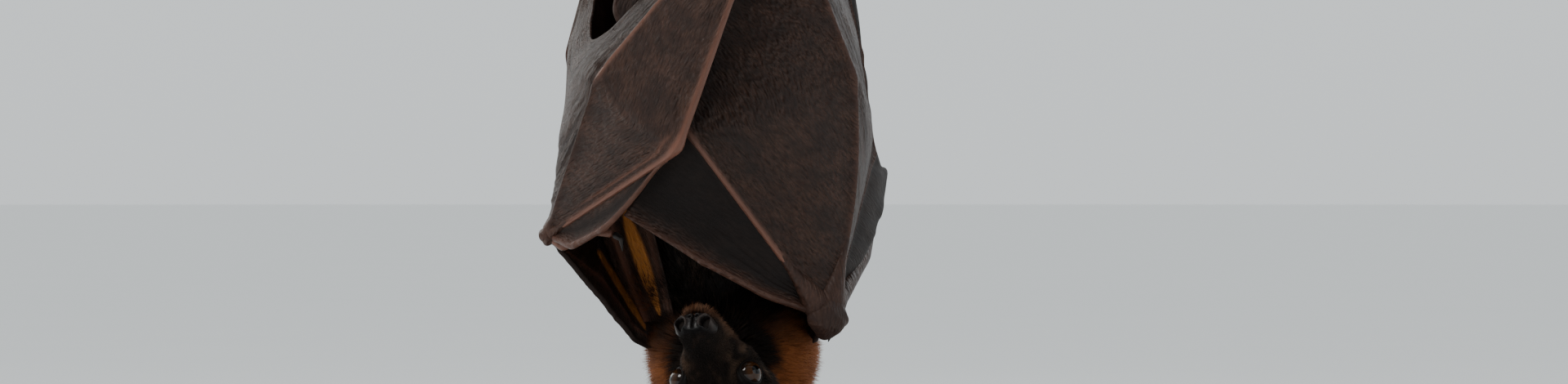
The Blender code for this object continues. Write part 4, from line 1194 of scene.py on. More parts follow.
def build_body():
    """Trunk, ruff, shoulders, upper arms and legs melted into one skin, inside the coat's depth."""
    look = looks()["under"]
    parts = [
        globe("trunk_form", trunk_shape, look, 48, 48),
        globe("ruff_form", egg(RUFF_MIDDLE, RUFF_RADII - 7.0), look, 48, 32),
        globe("chest_form", egg((TRUNK_X, -10.0, 122.0), (20.0, 11.0, 30.0)), look, 32, 24),
    ]
    for side, out in (("l", -1.0), ("r", 1.0)):
        wing, leg = WINGS[side], LEGS[side]
        shoulder, elbow = np.array(wing["shoulder"]), np.array(wing["elbow"])
        blade = shoulder + (0.0, 3.0, 4.0)
        parts.append(globe("shoulder_form", egg(blade, (10.0, 12.0, 14.0)), look, 24, 16))
        armpit = shoulder + (-4.0 * out, 14.0, 20.0)
        parts.append(globe("armpit_form", egg(armpit, (8.0, 14.0, 19.0)), look, 24, 16))
        arm = [shoulder + (elbow - shoulder) * s for s in (0.0, 0.3, 0.65, 1.02)]
        parts.append(rod("upper_arm_form", arm, [6.5, 7.0, 5.4, 4.2], look, 24, 40))
        hip, knee, ankle = (np.array(leg[k]) for k in ("hip", "knee", "ankle"))
        line = [hip, hip + (knee - hip) * 0.5, hip + (knee - hip) * 0.9, knee + (ankle - knee) * 0.08]
        line += [knee + (ankle - knee) * 0.5, ankle + (0.0, 0.5, 4.0)]
        parts.append(rod("leg_form", line, [7.6, 6.2, 4.4, 3.9, 2.9, 2.8], look, 24, 60))
        haunch = (TRUNK_X + 11.0 * out, 9.0, 252.0)
        parts.append(globe("haunch_form", egg(haunch, (9.0, 8.0, 12.0)), look, 24, 16))
    body = melt(join("body_skin", parts), 1.15, 14)
    mark_fur(body)
    ready(body, "dark_fur", "trunk", "neck", "upper_arm_l", "upper_arm_r", "leg_l", "leg_r")


def head_form(share, angle, depth=1.1):
    """The head under its fur, with brow, cheeks, sockets, lips and the soft line of the mouth."""
    first, last = HEAD_STATIONS[0][0] + depth, HEAD_STATIONS[-1][0] - 3.0
    forward = first + (last - first) * (1 - np.cos(np.pi * share)) / 2
    wide, top, bottom = between(HEAD_STATIONS, forward).T
    ends = np.clip(np.sin(np.pi * share) * 6.0, 0.0, 1.0)
    wide = np.maximum(wide - depth, 0.0) * ends
    middle, tall = (top + bottom) / 2, np.maximum((top - bottom) / 2 - depth, 0.0) * ends
    across, upward = np.cos(angle), np.sin(angle)
    jaw = 1.0 - 0.22 * np.maximum(0.0, -upward) ** 1.5
    squarer = 1.0 + 0.05 * np.sin(2 * angle) ** 2 * rise(forward, 6.0, 16.0)
    spot = np.stack((forward, wide * across * jaw * squarer, middle + tall * upward * squarer), -1)
    out = unit(np.stack((0.0 * forward, across * jaw, upward), -1))
    lift = np.zeros(len(spot))
    for sign in (-1.0, 1.0):
        def near(place_at, size, sign=sign):
            gap = np.linalg.norm((spot - np.array(place_at) * (1, sign, 1)) / size, axis=1)
            return np.exp(-(gap**2))

        lift += 1.7 * near((2.5, 11.0, 7.5), 4.8) + 1.0 * near((-9.0, 14.0, 8.0), 6.0)  # brow and temple
        lift += 1.2 * near((1.0, 13.0, -9.5), 6.0) - 0.8 * near((11.5, 10.0, 0.5), 4.0)  # cheek, hollow
        lift += 0.7 * near((22.0, 8.6, -6.5), 4.0) - 0.5 * near((25.0, 6.0, 0.5), 2.6)  # upper lip
        lift += 0.5 * near((EYE_ON, EYE_APART, EYE_UP), 6.5)  # the skin rises to the lids
    mouth = mouth_height(forward)
    lift -= 1.0 * hump(spot[:, 2], mouth, 0.65) * rise(forward, 2.0, 7.0)
    lift += 0.45 * hump(spot[:, 2], mouth - 1.7, 1.0) * rise(forward, 2.0, 9.0)
    lift += 0.25 * lumps(spot, 5.0, 31) + 0.12 * lumps(spot, 1.6, 32)
    lift -= 0.5 * hump(spot[:, 1], 0.0, 0.9) * rise(upward, 0.2, 0.8) * rise(forward, 12.0, 24.0)
    return in_head(spot + out * (lift * np.clip(ends, 0, 1))[:, None])


def nose_points(rows=70, columns=104):
    """The bare nose: two nostrils that open forward and outward, a groove between them, and a soft rim."""
    b, a = grid(rows, columns, -1.0, 1.0)
    x, y = a * np.sqrt(1 - b * b / 2), b * np.sqrt(1 - a * a / 2)
    right, up = 8.8 * x, -4.9 + np.where(y > 0, 4.0, 5.2) * y
    off = np.sqrt(x * x + y * y)
    out = 30.7 - 0.8 * off**2 - 5.2 * rise(off, 0.85 - 0.08 * rise(y, 0.0, 0.8), 1.03)
    gap_x, gap_y = np.abs(right) - NOSTRIL_APART, up + 4.8
    hole = np.sqrt((gap_x / 2.05) ** 2 + ((gap_y + 0.15 * gap_x) / 2.6) ** 2)
    rim = hump(hole, 1.25, 0.22)
    out += 1.1 * rim * (0.7 + 0.3 * rise(-gap_x, -1.0, 2.0))
    pit = 1.0 - rise(hole, 0.66, 1.0)
    out -= 5.0 * pit
    groove = hump(right, 0.0, 0.5) * (1.0 - 0.7 * rise(y, 0.2, 0.8))
    out -= 1.4 * groove
    dots = np.hypot(np.abs(right) - 1.5, up + 7.6)
    out += 0.4 * hump(dots, 1.1, 0.4) - 0.8 * (1.0 - rise(dots, 0.3, 0.8))
    grain = 0.05 * lumps(np.stack((right, up, 0 * up), -1), 0.55, 41)
    front = in_head(np.stack((out + grain, right, up), -1))
    inside = in_head(np.stack((22.6 + 2.0 * (1 - off), right * 0.86, up * 0.97), -1))
    # painted shade: near black in the nostrils and darker in the groove; the pad's side towards the forehead
    # is darker too
    dark = np.clip(pit + 0.35 * groove + 0.85 * rise(y, 0.35, 0.8), 0.0, 1.0)
    # rim is kept to one side, where the paler rim colour is partly a painted highlight
    return front, inside, dark, np.clip(rim * (1.0 - rise(y, 0.2, 0.7)) - pit, 0.0, 1.0)


# share from behind the eye to the middle of its opening, angle off the gaze, distance from the eye's centre
LID_PROFILE = (
    (0.0, 180.0, 4.0),
    (0.14, 118.0, 4.4),
    (0.24, 104.0, 5.4),
    (0.34, 92.0, 5.75),
    (0.42, 82.0, 5.98),
    (0.47, 77.0, 5.80),
    (0.51, 74.5, 5.80),
    (0.58, 69.0, 5.98),
    (0.66, 65.0, 5.94),
    (0.72, 62.5, 5.82),
    (0.76, 61.5, 5.62),
    (0.82, 61.0, 5.2),
    (1.0, 0.0, 4.4),
)
GAZES = {"l": unit((0.56, -0.81, 0.06)), "r": unit((0.56, 0.81, 0.06))}  # in the head's frame
EYE_RADIUS = 5.5


def gaze_axes(side):
    """Ahead, across and up of one eye, as places on the bat."""
    ahead = unit(GAZES[side] @ HEAD_AXES)
    across = unit(np.cross(ahead, HEAD_UP))
    return np.stack((ahead, across, np.cross(across, ahead)))


def eye_middle(side):
    """The centre of one eye, as a place on the bat."""
    sign = -1.0 if side == "l" else 1.0
    return in_head((EYE_ON, sign * EYE_APART, EYE_UP))


def build_lids(side):
    """The two lids round one eye, with a fold above and below, as a closed cup."""
    stops = np.array(LID_PROFILE)
    axes, middle = gaze_axes(side), eye_middle(side)

    def shape(share, angle):
        off = np.radians(np.interp(share, stops[:, 0], stops[:, 1]))
        reach = np.interp(share, stops[:, 0], stops[:, 2])
        near_rim = hump(share, 0.72, 0.2)
        oval = 1.0 - 0.15 * np.sin(angle) ** 2 * near_rim + 0.07 * np.cos(angle) ** 6 * near_rim
        off = off * oval
        ring = np.stack((np.cos(angle) * 4, np.sin(angle) * 4, share * 14), -1)
        ripple = 0.06 * lumps(ring, 1.0, 51) * rise(share, 0.2, 0.4) * (1 - rise(share, 0.66, 0.74))
        spot = np.stack((np.cos(off), np.sin(off) * np.cos(angle), np.sin(off) * np.sin(angle)), -1)
        return middle + (spot * (reach + ripple)[:, None]) @ axes

    return globe("lids_" + side, shape, looks()["lid"], 72, 72)


def build_head():
    """Head skin with mouth and folds, lids and bare nose in one object."""
    skin = globe("head_form", head_form, looks()["under"], 200, 160)
    mark_fur(skin)
    front, inside, pit, rim = nose_points()
    nose = double_sheet("nose_form", front, inside, looks()["nose"], {"pit": pit, "rim": rim})
    parts = [skin, nose, build_lids("l"), build_lids("r")]
    for part in parts[1:]:
        mark_fur(part)
    ready(join("head_skin", parts), "dark_fur", "head")


def build_eyes():
    """The eyeballs, each with the angle off its gaze kept for the pupil and iris."""
    for side in ("l", "r"):
        axes, middle = gaze_axes(side), eye_middle(side)

        def shape(share, angle, axes=axes, middle=middle):
            off = np.pi * (1.0 - share)
            reach = EYE_RADIUS + 0.35 * np.exp(-((off / 0.55) ** 2))  # the cornea stands a little proud
            spot = np.stack((np.cos(off), np.sin(off) * np.cos(angle), np.sin(off) * np.sin(angle)), -1)
            return middle + (spot * reach[:, None]) @ axes

        eye = globe("eyeball_" + side, shape, looks()["eye"], 64, 48)
        spots = unit(on_bat(eye) - middle) @ axes.T
        mark(eye, "gaze", np.arccos(np.clip(spots[:, 0], -1, 1)))
        mark(eye, "turn", np.arctan2(spots[:, 2], spots[:, 1]))
        ready(eye, "eye", "eye_" + side)


EAR_LONG, EAR_WIDE = 30.0, 17.0


def build_ears():
    """Leaf shaped ears rolled into half cones, ribbed inside."""
    parts = []
    for side, sign in (("l", -1.0), ("r", 1.0)):
        along, across = grid(64, 40)
        lift = EAR_LONG * along - 3.0
        half = 0.5 * EAR_WIDE * np.sin(np.pi * (0.16 + 0.835 * along)) ** 0.8
        roll = (across - 0.5) * np.radians(200.0 - 70.0 * along)
        front = -14.0 - 0.36 * lift - half * np.cos(roll) * 0.75 + 4.0
        out = sign * (12.5 + 0.46 * lift + half * np.sin(roll) * sign)
        spots = in_head(np.stack((front, out, 9.0 + 0.82 * lift), -1))
        normal = unit(np.cross(np.gradient(spots, axis=1), np.gradient(spots, axis=0)))
        rib = 0.14 * np.sin(along * 46.0) * rise(along, 0.1, 0.3) * (1 - rise(along, 0.75, 0.95))
        rib = rib * np.sin(np.pi * across)
        thick = 0.32 + 0.28 * (1 - along) + 0.22 * (hump(across, 0.0, 0.06) + hump(across, 1.0, 0.06))
        upper = spots + normal * (thick + rib)[..., None]
        lower = spots - normal * (thick - rib)[..., None]
        parts.append(double_sheet("ear_form_" + side, upper, lower, looks()["ear"]))
    ready(join("ears", parts), "ear_skin", "ear_l", "ear_r")


def perch_middle(share):
    """The middle of the branch at shares of its length, and its thickness."""
    share = np.asarray(share, float)
    x = (share - 0.5) * PERCH_LONG + PERCH_X
    y = 0.84 * np.sin(5.0 * share)
    z = PERCH_Z + 2.2 * np.sin(2.3 * share + 0.6) - 2.1
    return np.stack((x, y, z), -1), PERCH_RADIUS * (1.06 - 0.16 * share)


def perch_at(x):
    """The middle of the branch at a place along it, and its thickness there."""
    return perch_middle((x - PERCH_X) / PERCH_LONG + 0.5)


def toe_spot(x, turn, radius):
    """A point on the arc of a toe over the branch: turn 0 is behind it, 90 over the top."""
    middle, _ = perch_at(x)
    angle = math.radians(turn)
    return np.array((x, middle[1] + radius * math.cos(angle), middle[2] + radius * math.sin(angle)))


def build_feet():
    """Two feet of five toes hooked over the branch, with soft joints, and their claws apart."""
    forms, claws, nodes = [], [], []
    for side in ("l", "r"):
        ankle = np.array(LEGS[side]["ankle"])
        track = perch_at(ankle[0])[1] + TOE_RADIUS + 0.4
        heel = [ankle + (0, 0.8, -6.0), ankle + (0, 0.9, 2.0)]
        forms.append(rod("heel", heel, [2.7, 2.9], looks()["toe"], 24, 24))
        forms.append(globe("sole", egg(ankle + (0.0, 1.4, 5.6), (6.0, 2.5, 6.4)), looks()["toe"], 32, 24))
        for number in range(TOES):
            spread = (number - (TOES - 1) / 2) * TOE_APART
            x = ankle[0] + spread
            start = (ankle[0] + 0.62 * spread, ankle[1] + 1.8, ankle[2] + 6.0)
            turns = (8.0, 22.0, 34.0, 48.0, 60.0, 74.0, 86.0, 98.0, 108.0)
            path = [start, *(toe_spot(x, turn, track) for turn in turns)]
            radii = [1.5, 1.5, 1.7, 1.4, 1.35, 1.6, 1.35, 1.3, 1.45, 1.1]
            forms.append(rod("toe", path, radii, looks()["toe"], 20, 60))
            hook = [toe_spot(x, turn, track + rise_by) for turn, rise_by in CLAW_ARC]
            claw = rod("claw", hook, [1.25, 1.3, 0.95, 0.6, 0.12], looks()["claw"], 20, 40)
            spots = on_bat(claw)
            spots[:, 0] = x + (spots[:, 0] - x) * 0.72  # claws are narrower than they are deep
            put(claw, place(spots))
            claws.append(claw)
            nodes.append(f"claw_{side}_{number + 1}")
        thumb_hook = rod("claw", WINGS[side]["thumb_claw"], [1.45, 1.15, 0.15], looks()["claw"], 20, 40)
        claws.append(thumb_hook)
        nodes.append("thumb_claw_" + side)
    feet = melt(join("feet_skin", forms), 0.38, 3)
    spots = on_bat(feet)
    crease = 0.07 * lumps(spots, (9.0, 0.9, 0.9), 61) + 0.05 * lumps(spots, 0.7, 62)
    put(feet, place(spots + unit(places_of(feet, "vertices", "normal")) * crease[:, None]))
    ready(feet, "bone_skin", "foot_l", "foot_r")
    ready(join("claws", claws), "claw", *nodes)


# ---------------------------------------------------------------- the coat


def coat_flow(spots):
    """The way the hair lies: from the nose over the crown and the ruff, then along the body to the feet."""
    head = to_head(spots)
    turn = np.maximum(rise(spots[:, 1], -14.0, 20.0), rise(spots[:, 2], 84.0, 104.0))[:, None]
    outward = head * (0.0, 1.0, 1.0)
    outward = outward / np.maximum(np.linalg.norm(outward, axis=1, keepdims=True), 1.0)
    loose = 0.75 * (1.0 - rise(head[:, :1], -6.0, 10.0))
    flow = (loose * outward @ HEAD_AXES - HEAD_FORWARD) * (1 - turn) + np.array((0.0, 0.0, 1.0)) * turn
    for sign in (-1.0, 1.0):  # the hair parts round each eye
        off = head - np.array((EYE_ON, sign * EYE_APART, EYE_UP))
        gap = np.linalg.norm(off, axis=1)[:, None]
        flow = flow + 1.1 * (off / gap) @ HEAD_AXES * np.exp(-((gap / 9.0) ** 2))
    return unit(flow)


def coat_style(kind, spots, length):
    """Length, width, lift and density of the tufts at places on one part of the coat."""
    head = to_head(spots)
    forward, right, up = head.T
    inside = off_ruff(spots)
    if kind == "head":
        eye = off_eyes(head)
        chin = rise(forward, 2.0, 14.0) * rise(-up, 5.0, 11.0)
        side = rise(np.abs(right), 5.0, 12.0)
        crown = 0.9 * rise(-forward, -24.0, 2.0) * (1 - chin)
        long = length * (0.42 + 1.6 * chin + crown + 1.3 * rise(-forward, 4.0, 22.0))
        long *= (0.45 + 0.55 * rise(eye, 6.0, 11.0)) * (0.85 + 0.35 * side)
        lift = 0.26 + 0.40 * rise(-forward, -10.0, 20.0) + 0.62 * chin
        keep = rise(eye, 5.6, 6.2)
        nose = np.sqrt((right / 8.4) ** 2 + ((up + 4.9) / np.where(up > -4.9, 3.7, 4.9)) ** 2)
        keep *= np.where(forward > 23.0, rise(nose, 0.86, 1.0), 1.0)
        keep *= 1.0 - rise(forward, 28.6, 29.2)
        keep *= 1.0 - 0.85 * hump(up, mouth_height(forward), 0.5) * rise(forward, 4.0, 8.0)
        return long, 0.15 + 0.03 * long, lift, keep * (0.6 + 0.8 * rise(forward, -10.0, 12.0))
    if kind == "ruff":
        keep = (1 - rise(inside, 1.02, 1.30)) * (1 - rise(forward, -8.0, 0.0) * hump(right, 0.0, 14.0))
        keep *= 1.0 - 0.8 * rise(spots[:, 2], 92.0, 106.0)
        lift = 0.74 - 0.34 * rise(spots[:, 1], 4.0, 24.0)
        return np.full(len(spots), length), np.full(len(spots), 0.25), lift, keep
    keep = rise(inside, 0.92, 1.05)
    limb = rise(spots[:, 2], 262.0, 276.0)
    arm = rise(np.abs(spots[:, 0] - TRUNK_X), 31.0, 35.0)
    small = np.maximum(limb, arm)
    back = rise(spots[:, 1], -6.0, 10.0)
    keep *= 0.28 + 0.9 * back + 0.9 * small
    keep *= 1.0 - rise(spots[:, 2], 346.0, 352.0)
    long = length * (1.0 - 0.5 * small - 0.35 * rise(spots[:, 2], 318.0, 345.0))
    return long, 0.42 - 0.12 * small, 0.34 - 0.08 * small, keep


def chart_of(kind, spots):
    """An unwrap of the skin's own shape: round it and along it."""
    if kind == "head":
        head = to_head(spots)
        turn = np.arctan2(head[:, 2] + 3.0, head[:, 1]) / (2 * math.pi) + 0.5
        along = (head[:, 0] + 38.0) / 72.0
    elif kind == "ruff":
        off = (spots - RUFF_MIDDLE) / RUFF_RADII
        turn = np.arctan2(off[:, 1], off[:, 0]) / (2 * math.pi) + 0.5
        along = np.arccos(np.clip(unit(off)[:, 2], -1, 1)) / math.pi
    else:
        aside, (_, deep, height) = spots[:, 0] - TRUNK_X, spots.T
        legs = height > TRUNK_STATIONS[-1][0]
        middle = np.where(legs, np.sign(aside) * 22.0, 0.0)
        turn = np.arctan2(deep - 7.0, aside - middle) / (2 * math.pi) + 0.5
        turn = np.where(legs, turn * 0.5 + np.where(aside > 0.0, 0.5, 0.0), turn)
        along = (height - 70.0) / 290.0
    return np.clip(np.stack((turn, along), -1), 0.0, 1.0) * 0.98 + 0.008


TUFTS_TO_A_LOCK = 9
# a tuft has three points at its root, three half way up and one at its tip: faces, and places on the chart
TUFT_SIDES = np.array(((0, 1, 4, 3), (1, 2, 5, 4), (2, 0, 3, 5)))
TUFT_ENDS = np.array(((3, 4, 6), (4, 5, 6), (5, 3, 6), (0, 2, 1)))
TUFT_POINTS = 7
TUFT_CHART = 0.0015 * np.array(((0, 0), (2, 0), (1, 0), (0, 1), (2, 1), (1, 1), (1, 2)), float)


def grow(kind, skin, count, length, seed):
    """Roots, tips, lie, width and tone of one part's tufts, spread over its skin and drawn into locks."""
    chance = np.random.default_rng(seed)
    mesh = skin.data
    mesh.calc_loop_triangles()
    corners = np.zeros(len(mesh.loop_triangles) * 3, np.int32)
    mesh.loop_triangles.foreach_get("vertices", corners)
    corners = corners.reshape(-1, 3)
    spots, normals = on_bat(skin), places_of(skin, "vertices", "normal")
    trio = spots[corners]
    middles = trio.mean(axis=1)
    area = np.linalg.norm(np.cross(trio[:, 1] - trio[:, 0], trio[:, 2] - trio[:, 0]), axis=1) / 2
    weight = area * coat_style(kind, middles, length)[3]
    steps = np.cumsum(weight)
    picks = np.searchsorted(steps, (np.arange(count) + chance.uniform(0, 1, count)) / count * steps[-1])
    picks = np.minimum(picks, len(corners) - 1)
    a, b = chance.uniform(0, 1, (2, count))
    flip = a + b > 1
    a[flip], b[flip] = 1 - a[flip], 1 - b[flip]
    shares = np.stack((1 - a - b, a, b), -1)[..., None]
    roots = (trio[picks] * shares).sum(axis=1)
    out = unit((normals[corners[picks]] * shares).sum(axis=1))
    long, wide, lift, _ = coat_style(kind, roots, length)
    long = long * chance.uniform(0.72, 1.22, count)
    flow = coat_flow(roots)
    flat = unit(flow - out * np.sum(flow * out, axis=1, keepdims=True))
    swing = chance.normal(0.0, 0.22, count)[:, None] + 0.5 * lumps(roots, 7.0, seed)[:, None]
    flat = unit(flat * np.cos(swing) + np.cross(out, flat) * np.sin(swing))
    lift = np.clip(lift + chance.normal(0.0, 0.09, count), 0.06, 1.2)
    tips = roots + (flat * np.cos(lift)[:, None] + out * np.sin(lift)[:, None]) * long[:, None]
    leaders = chance.choice(count, max(1, count // TUFTS_TO_A_LOCK), replace=False)
    tree = KDTree(len(leaders))
    for number, leader in enumerate(leaders):
        tree.insert(roots[leader], number)
    tree.balance()
    lead = leaders[[tree.find(root)[1] for root in roots]]
    draw = 0.42 if kind != "head" else 0.30
    draw = draw * np.exp(-np.linalg.norm(roots - roots[lead], axis=1) / (0.8 * long))
    tips = tips + (tips[lead] - tips) * draw[:, None]
    tone = np.clip(0.5 + 0.22 * chance.normal(0, 1, count) + 0.25 * lumps(roots, 4.0, seed + 1), 0, 1)
    return {"roots": roots, "tips": tips, "out": out, "wide": wide, "tone": tone}


def build_coat(name, kind, tufts, slot):
    """One piece of the coat: each tuft a bent three sided spike with its own place on the chart."""
    roots, tips, out = tufts["roots"], tufts["tips"], tufts["out"]
    count = len(roots)
    ahead = tips - roots
    long = np.linalg.norm(ahead, axis=1, keepdims=True)
    way = ahead / long
    across = unit(np.cross(way, out))
    up = np.cross(across, way)
    half = (tufts["wide"] / 2)[:, None]
    middle = roots + ahead * 0.5 + up * long * 0.07
    start = roots - out * 0.25
    points = np.empty((count, TUFT_POINTS, 3))
    for number, (side, rise_by) in enumerate(((-1.0, 0.0), (1.0, 0.0), (0.0, 0.9))):
        points[:, number] = start + (across * side + up * rise_by) * half
        points[:, 3 + number] = middle + (across * side + up * rise_by) * half * 0.72
    points[:, 6] = tips
    sides, ends = TUFT_SIDES, TUFT_ENDS
    first = points[0]
    facing = np.cross(first[1] - first[0], first[4] - first[0])
    if np.dot(facing, (first[0] + first[1]) / 2 - first[:3].mean(axis=0)) < 0:
        sides, ends = sides[:, ::-1], ends[:, ::-1]
    shift = (np.arange(count) * TUFT_POINTS)[:, None]
    loops = np.concatenate((sides.ravel() + shift, ends.ravel() + shift), axis=1).ravel()
    sizes = np.tile([len(face) for face in (*sides, *ends)], count)
    starts = np.concatenate(([0], np.cumsum(sizes)[:-1]))
    mesh = bpy.data.meshes.new(name)
    mesh.vertices.add(count * TUFT_POINTS)
    mesh.vertices.foreach_set("co", place(points.reshape(-1, 3)).astype(np.float32).ravel())
    mesh.loops.add(len(loops))
    mesh.loops.foreach_set("vertex_index", loops.astype(np.int32))
    mesh.polygons.add(len(sizes))
    mesh.polygons.foreach_set("loop_start", starts.astype(np.int32))
    mesh.update(calc_edges=True)
    mesh.shade_smooth()
    mesh.materials.append(looks()["coat"])
    coat = bpy.data.objects.new(name, mesh)
    bpy.context.scene.collection.objects.link(coat)
    rust, frost = markings(roots)
    for key, values in (("rust", rust), ("frost", frost), ("tone", tufts["tone"])):
        mark(coat, key, np.repeat(values, TUFT_POINTS))
    mark(coat, "tip", np.tile((0.0, 0.0, 0.0, 0.5, 0.5, 0.5, 1.0), count))
    chart = chart_of(kind, roots)[:, None, :] + TUFT_CHART[None]
    lay_chart(coat, chart.reshape(-1, 2), "OFBake")
    ready(coat, slot)


def part_of(tufts, keep):
    """Some of the tufts, picked by a test."""
    return {key: values[keep] for key, values in tufts.items()}


def build_coats():
    """The coat over head, ruff, trunk and limbs, in pieces of fewer than twenty thousand tufts."""
    sizes = bpy.context.scene.fox_sizes
    body = bpy.data.objects["body_skin"]
    skin = globe("head_form", head_form, looks()["under"], 200, 160)  # the head without its nose and lids
    face = grow("head", skin, sizes.head_tufts, sizes.face_fur / MM, 71)
    drop(skin)
    left = to_head(face["roots"])[:, 1] < 0
    build_coat("coat_head_l", "head", part_of(face, left), "dark_fur")
    build_coat("coat_head_r", "head", part_of(face, ~left), "dark_fur")
    ruff = grow("ruff", body, sizes.ruff_tufts, sizes.ruff_fur / MM, 72)
    left = ruff["roots"][:, 0] < RUFF_MIDDLE[0]
    build_coat("coat_ruff_l", "ruff", part_of(ruff, left), "rust_fur")
    build_coat("coat_ruff_r", "ruff", part_of(ruff, ~left), "rust_fur")
    trunk = grow("trunk", body, sizes.body_tufts, sizes.body_fur / MM, 73)
    order = np.digitize(trunk["roots"][:, 2], np.quantile(trunk["roots"][:, 2], (0.34, 0.67)))
    for number in range(3):
        build_coat(f"coat_trunk_{number + 1}", "trunk", part_of(trunk, order == number), "dark_fur")


# ---------------------------------------------------------------- perch and stand


def build_perch():
    """The branch with cracked bark, two knots and sawn ends."""
    end = 0.06  # the share of the globe that makes each sawn end

    def shape(part, angle):
        flat = np.clip((part - end) / (1 - 2 * end), 0.0, 1.0)
        spot, radius = perch_middle(flat)
        to_end = np.minimum(part, 1 - part)
        reach = np.where(to_end > end, 1.0, np.sin(np.clip(to_end / end, 0, 1) * math.pi / 2))
        ring = np.stack((flat * PERCH_LONG, np.cos(angle) * 10.0, np.sin(angle) * 10.0), -1)
        bark = 0.35 * lumps(ring, (16.0, 2.6, 2.6), 81) + 0.25 * lumps(ring, (5.0, 1.4, 1.4), 82)
        knots = sum(high * np.exp(-(((ring - at) / 5.0) ** 2).sum(1)) for high, at in KNOTS)
        radius = (radius - 0.55) * reach + (bark + knots) * (reach > 0.98)
        return spot + np.stack((0 * angle, radius * np.cos(angle), radius * np.sin(angle)), -1)

    branch = globe("perch_branch", shape, looks()["bark"], 96, 220)
    branch.data.materials.append(looks()["cut"])
    sawn = np.abs(places_of(branch, "polygons", "normal")[:, 0]) > 0.9
    branch.data.polygons.foreach_set("material_index", sawn.astype(np.int32))
    ready(branch, "bark", "perch")


def round_edges(bm, edges, radius, segments):
    """Rounds some edges of a bmesh, to a radius in millimetres."""
    keys = {"segments": segments, "profile": 0.5, "affect": "EDGES", "material": -1}
    bmesh.ops.bevel(bm, geom=edges, offset=radius * MM, **keys)


def collar(at, ahead, long):
    """A round collar of the stand that starts at a place and runs ahead, with rounded rims."""
    bm = bmesh.new()
    size = {"radius1": COLLAR_RADIUS * MM, "radius2": COLLAR_RADIUS * MM, "depth": long * MM}
    bmesh.ops.create_cone(bm, cap_ends=True, segments=48, **size)
    caps = [f for f in bm.faces if len(f.verts) > 4]
    round_edges(bm, [e for e in bm.edges if any(f in caps for f in e.link_faces)], 0.8, 3)
    aim = Vector((0, 0, 1)).rotation_difference(Vector(ahead)).to_matrix()
    bmesh.ops.rotate(bm, cent=(0, 0, 0), matrix=aim, verts=bm.verts)
    bmesh.ops.translate(bm, vec=Vector(place(at)) + Vector(ahead) * long / 2 * MM, verts=bm.verts)
    return object_from("collar", bm, looks()["steel"])


def build_stand():
    """The base with its rounded corners and upper edge, the bent rod and the two collars."""
    bm = bmesh.new()
    bmesh.ops.create_cube(bm, size=1.0)
    bmesh.ops.scale(bm, vec=(BASE_WIDE * MM, BASE_DEEP * MM, BASE_THICK * MM), verts=bm.verts)
    bmesh.ops.translate(bm, vec=(0.0, 0.0, BASE_THICK / 2 * MM), verts=bm.verts)
    uprights = [e for e in bm.edges if abs(e.verts[0].co.z - e.verts[1].co.z) > 0.5 * BASE_THICK * MM]
    round_edges(bm, uprights, BASE_CORNER, 12)
    round_edges(bm, [e for e in bm.edges if all(v.co.z > 0.9 * BASE_THICK * MM for v in e.verts)], 2.0, 4)
    base = object_from("stand_board", bm, looks()["base"])
    base.data.set_sharp_from_angle(angle=math.radians(35.0))
    ready(base, "base_black", "stand_base")

    foot = (ROD_X, ROD_BACK, BASE_THICK + GAP)
    start_y = PERCH_RADIUS + COLLAR_LONG + 2 * GAP
    points = [foot, (ROD_X, ROD_BACK, PERCH_Z - ROD_BEND)]
    for step in range(1, ROD_BEND_STEPS + 1):
        angle = step / ROD_BEND_STEPS * math.pi / 2
        back = ROD_BACK - ROD_BEND * (1 - math.cos(angle))
        points.append((ROD_X, back, PERCH_Z - ROD_BEND * (1 - math.sin(angle))))
    points.append((ROD_X, start_y, PERCH_Z))
    pieces = [
        rod("rod", points, [ROD_RADIUS] * len(points), looks()["steel"], 40, 260),
        collar(foot, (0, 0, 1), COLLAR_LONG),
        collar((ROD_X, start_y - GAP, PERCH_Z), (0, -1, 0), COLLAR_LONG + 1.5),
    ]
    steel = join("stand_rod_and_collars", pieces)
    steel.data.set_sharp_from_angle(angle=math.radians(40.0))
    ready(steel, "rod_steel", "stand_rod", "stand_base_collar", "stand_perch_collar")


# ---------------------------------------------------------------- stage


def area_light(name, at, toward, size, power, colour):
    """A soft square light."""
    lamp = bpy.data.lights.new(name, "AREA")
    lamp.shape, lamp.size, lamp.energy, lamp.color = "SQUARE", size, power, colour
    holder = bpy.data.objects.new(name, lamp)
    holder.location = at
    holder.rotation_euler = (Vector(toward) - Vector(at)).to_track_quat("-Z", "Y").to_euler()
    bpy.context.scene.collection.objects.link(holder)


